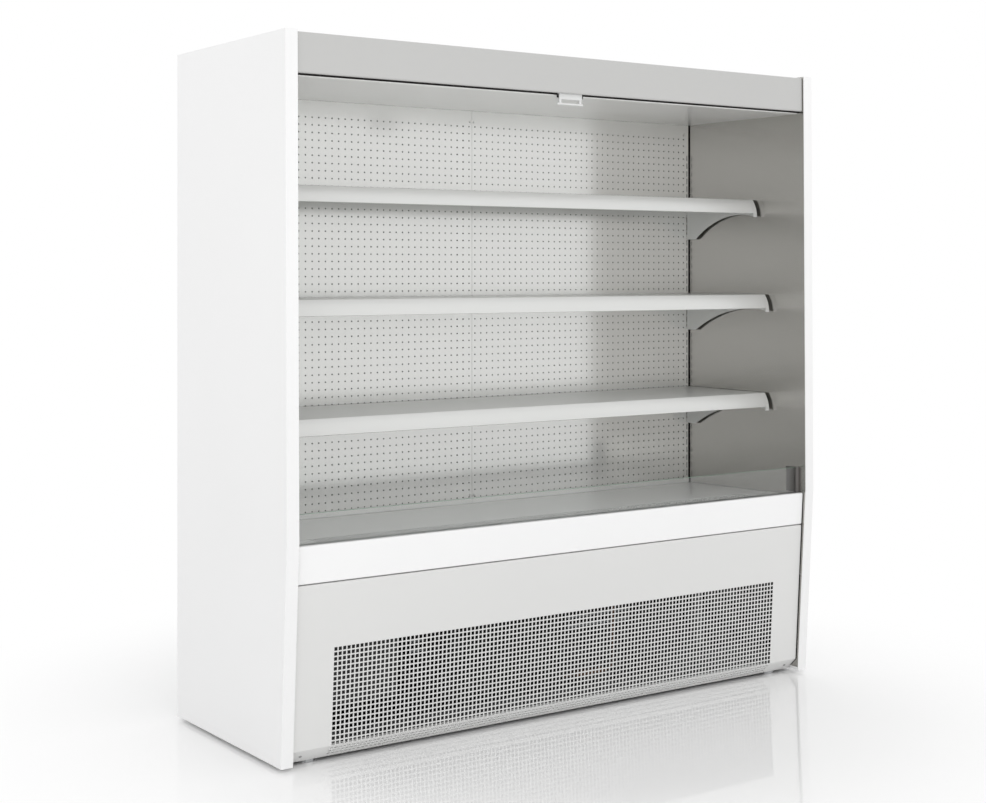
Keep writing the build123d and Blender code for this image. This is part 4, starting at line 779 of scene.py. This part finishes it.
seat = high.z - LOWER_SHEET / 2
corner = face_point((seat - face_point(0)[1]) / cos(lean))
face_holes = [FACE_FIRST_ROW + k * HOLE_PITCH for k in range(FACE_ROWS)]
toe_holes = [TOE_FIRST_ROW + k * HOLE_PITCH for k in range(TOE_ROWS)]
face_lines = [face_point(distance) for distance in reversed(edges_of(face_holes, FACE_HOLE))]
toe_lines = [toe_point(distance) for distance in edges_of(toe_holes, HOLE_SIDE)]
bend = face_point(inset * tan(pi / 4 - TOE_ANGLE / 2 - lean / 2))
toe = toe_point(TOE_LENGTH)
corners = [(high.y, seat), corner, *face_lines, bend, *toe_lines, toe,
           (toe[0], toe[1] + TOE_FLANGE)]
bends = [FOLD, *[0] * len(face_lines), TOE_BEND, *[0] * len(toe_lines), TOE_FOLD]
columns = edges_of([(k - (FIELD_COLUMNS - 1) / 2) * HOLE_PITCH for k in range(FIELD_COLUMNS)], FACE_HOLE)
bm, runs = folded_sheet(corners, bends, [low.x, *columns, high.x])
face_runs = runs[2:2 + len(face_lines):2]
toe_runs = runs[4 + len(face_lines):4 + len(face_lines) + len(toe_lines):2]
holes = within(face_runs + toe_runs, columns)
bmesh.ops.delete(bm, geom=holes, context="FACES")
lower_coat = coated("lower_front_coat", (0.78, 0.78, 0.77), 0.36)
shown(bm, "lower_front_sheet", lower_coat, "cabinet", "light_grey", "lower_front_panel",
      "lower_front_backing", wall=LOWER_SHEET)
faced(screw_steel, "toe_screws")


# Machine: a condenser with its fan, the compressor and the pipes in the base, and the evaporator
# with three fans in the tub. The fins are made near black and the copper darker than its own
# colour: painted shade, so the space behind the grille reads dark.

# Painted shade: near-black fins and dark copper stand in for the shade behind the grille.
fins, shader, place = new_material("fins_painted_shade", 0.60, specular=0.1)
fin_lines = stretched(fins, place, (300.0, 0.2, 0.2))
clouded(fins, shader, fin_lines, (0.003, 0.003, 0.003), (0.020, 0.019, 0.018), 1.0)
motor_coat = coated("motor_coat", (0.018, 0.018, 0.019), 0.50)
shell_coat = coated("compressor_coat", (0.02, 0.02, 0.022), 0.35)
copper = ground_steel("copper_tube_painted_shade", (0.13, 0.075, 0.05), 0.45, (1.0, 1.0, 1.0), 0.05)
box_plastic = moulded("control_box_plastic", (0.02, 0.02, 0.02), 0.6)
pipe_plastic = moulded("grey_pipe_plastic", (0.10, 0.102, 0.10), 0.5)
fan_plastic = moulded("fan_plastic", (0.03, 0.03, 0.032), 0.45)
faced(fins, "evaporator_coil", "condenser_coil")
faced(motor_coat, "evaporator_fan_motors", "condenser_fan_motor")
faced(shell_coat, "compressor")
faced(black_coat, "condenser_shroud")
faced(zinc_steel, "evaporator_fan_plate")
faced(shade_black_zinc, "drip_tray")
faced(copper, "refrigerant_pipes")
faced(box_plastic, "control_box")
faced(pipe_plastic, "drain_pipe")
faced(fan_plastic, "evaporator_fan_left", "evaporator_fan_middle", "evaporator_fan_right",
      "condenser_fan_rotor")


# Studio: a polished pale floor that fades to white away from the cabinet, a white surround that
# lights it softly from all sides, and a weak softbox in front.

FLOOR_HALF = 12.0
FADE_START = 0.9
FADE_END = 1.9
LAMP_POWER = 30.0
LAMP_AT = (-1.6, -5.0, 1.2)
LAMP_SIZE = 3.0
CAMERA_AT = (-3.03965, -4.22347, 1.32931)
CAMERA_TURN = radians(-35.07)
CAMERA_SENSOR = 36.0
CAMERA_LENS = 60.625
CAMERA_RISE = -0.1323

bm = bmesh.new()
bmesh.ops.create_grid(bm, x_segments=1, y_segments=1, size=FLOOR_HALF)
mesh = bpy.data.meshes.new("studio_floor")
bm.to_mesh(mesh)
bm.free()
floor = bpy.data.objects.new("studio_floor", mesh)
bpy.context.scene.collection.objects.link(floor)
floor_white, shader, place = new_material("studio_floor_white", 0.05)
clouded(floor_white, shader, place, (0.93, 0.93, 0.93), (0.95, 0.95, 0.95), 0.5)
links = floor_white.node_tree.links
distance = linked(floor_white, "ShaderNodeVectorMath")
distance.operation = "LENGTH"
fade = linked(floor_white, "ShaderNodeMapRange")
fade.inputs["From Min"].default_value = FADE_START
fade.inputs["From Max"].default_value = FADE_END
fade.interpolation_type = "SMOOTHSTEP"
seen = linked(floor_white, "ShaderNodeLightPath")
faded = linked(floor_white, "ShaderNodeMath")
faded.operation = "MULTIPLY"
plain_white = linked(floor_white, "ShaderNodeEmission", Strength=1.0)
plain_white.inputs["Color"].default_value = (1, 1, 1, 1)
either = linked(floor_white, "ShaderNodeMixShader")
links.new(place, distance.inputs[0])
links.new(distance.outputs["Value"], fade.inputs["Value"])
links.new(fade.outputs["Result"], faded.inputs[0])
links.new(seen.outputs["Is Camera Ray"], faded.inputs[1])
links.new(faded.outputs[0], either.inputs["Fac"])
links.new(shader.outputs[0], either.inputs[1])
links.new(plain_white.outputs[0], either.inputs[2])
links.new(either.outputs[0], floor_white.node_tree.nodes["Material Output"].inputs["Surface"])
mesh.materials.append(floor_white)

# One background lights the cabinet, and another is what the camera, mirrors and glass see.

LIGHTING_STRENGTH = 1.0
SEEN_STRENGTH = 1.0
world = bpy.data.worlds.new("studio_world")
bpy.context.scene.world = world
world.use_nodes = True
tree = world.node_tree
lighting = tree.nodes["Background"]
seen_white = tree.nodes.new("ShaderNodeBackground")
for surround, strength in ((lighting, LIGHTING_STRENGTH), (seen_white, SEEN_STRENGTH)):
    surround.inputs["Color"].default_value = (1, 1, 1, 1)
    surround.inputs["Strength"].default_value = strength
path = tree.nodes.new("ShaderNodeLightPath")
seen_or_mirrored = tree.nodes.new("ShaderNodeMath")
seen_or_mirrored.operation = "MAXIMUM"
or_through_glass = tree.nodes.new("ShaderNodeMath")
or_through_glass.operation = "MAXIMUM"
mix = tree.nodes.new("ShaderNodeMixShader")
tree.links.new(path.outputs["Is Camera Ray"], seen_or_mirrored.inputs[0])
tree.links.new(path.outputs["Is Glossy Ray"], seen_or_mirrored.inputs[1])
tree.links.new(seen_or_mirrored.outputs[0], or_through_glass.inputs[0])
tree.links.new(path.outputs["Is Transmission Ray"], or_through_glass.inputs[1])
tree.links.new(or_through_glass.outputs[0], mix.inputs["Fac"])
tree.links.new(lighting.outputs[0], mix.inputs[1])
tree.links.new(seen_white.outputs[0], mix.inputs[2])
tree.links.new(mix.outputs[0], tree.nodes["World Output"].inputs["Surface"])

lamp = bpy.data.objects.new("front_softbox", bpy.data.lights.new("front_softbox", "AREA"))
lamp.data.shape = "SQUARE"
lamp.data.size = LAMP_SIZE
lamp.data.energy = LAMP_POWER
lamp.location = LAMP_AT
aim = Vector((0, 0, LAMP_AT[2])) - Vector(LAMP_AT)
lamp.rotation_euler = aim.to_track_quat("-Z", "Y").to_euler()
lamp.visible_glossy = False
bpy.context.scene.collection.objects.link(lamp)

camera = bpy.data.objects.new("camera", bpy.data.cameras.new("camera"))
camera.location = CAMERA_AT
camera.rotation_euler = (pi / 2, 0, CAMERA_TURN)
camera.data.sensor_width = CAMERA_SENSOR
camera.data.lens = CAMERA_LENS
camera.data.shift_y = CAMERA_RISE
bpy.context.scene.collection.objects.link(camera)
bpy.context.scene.camera = camera
bpy.context.scene.view_settings.view_transform = "Standard"
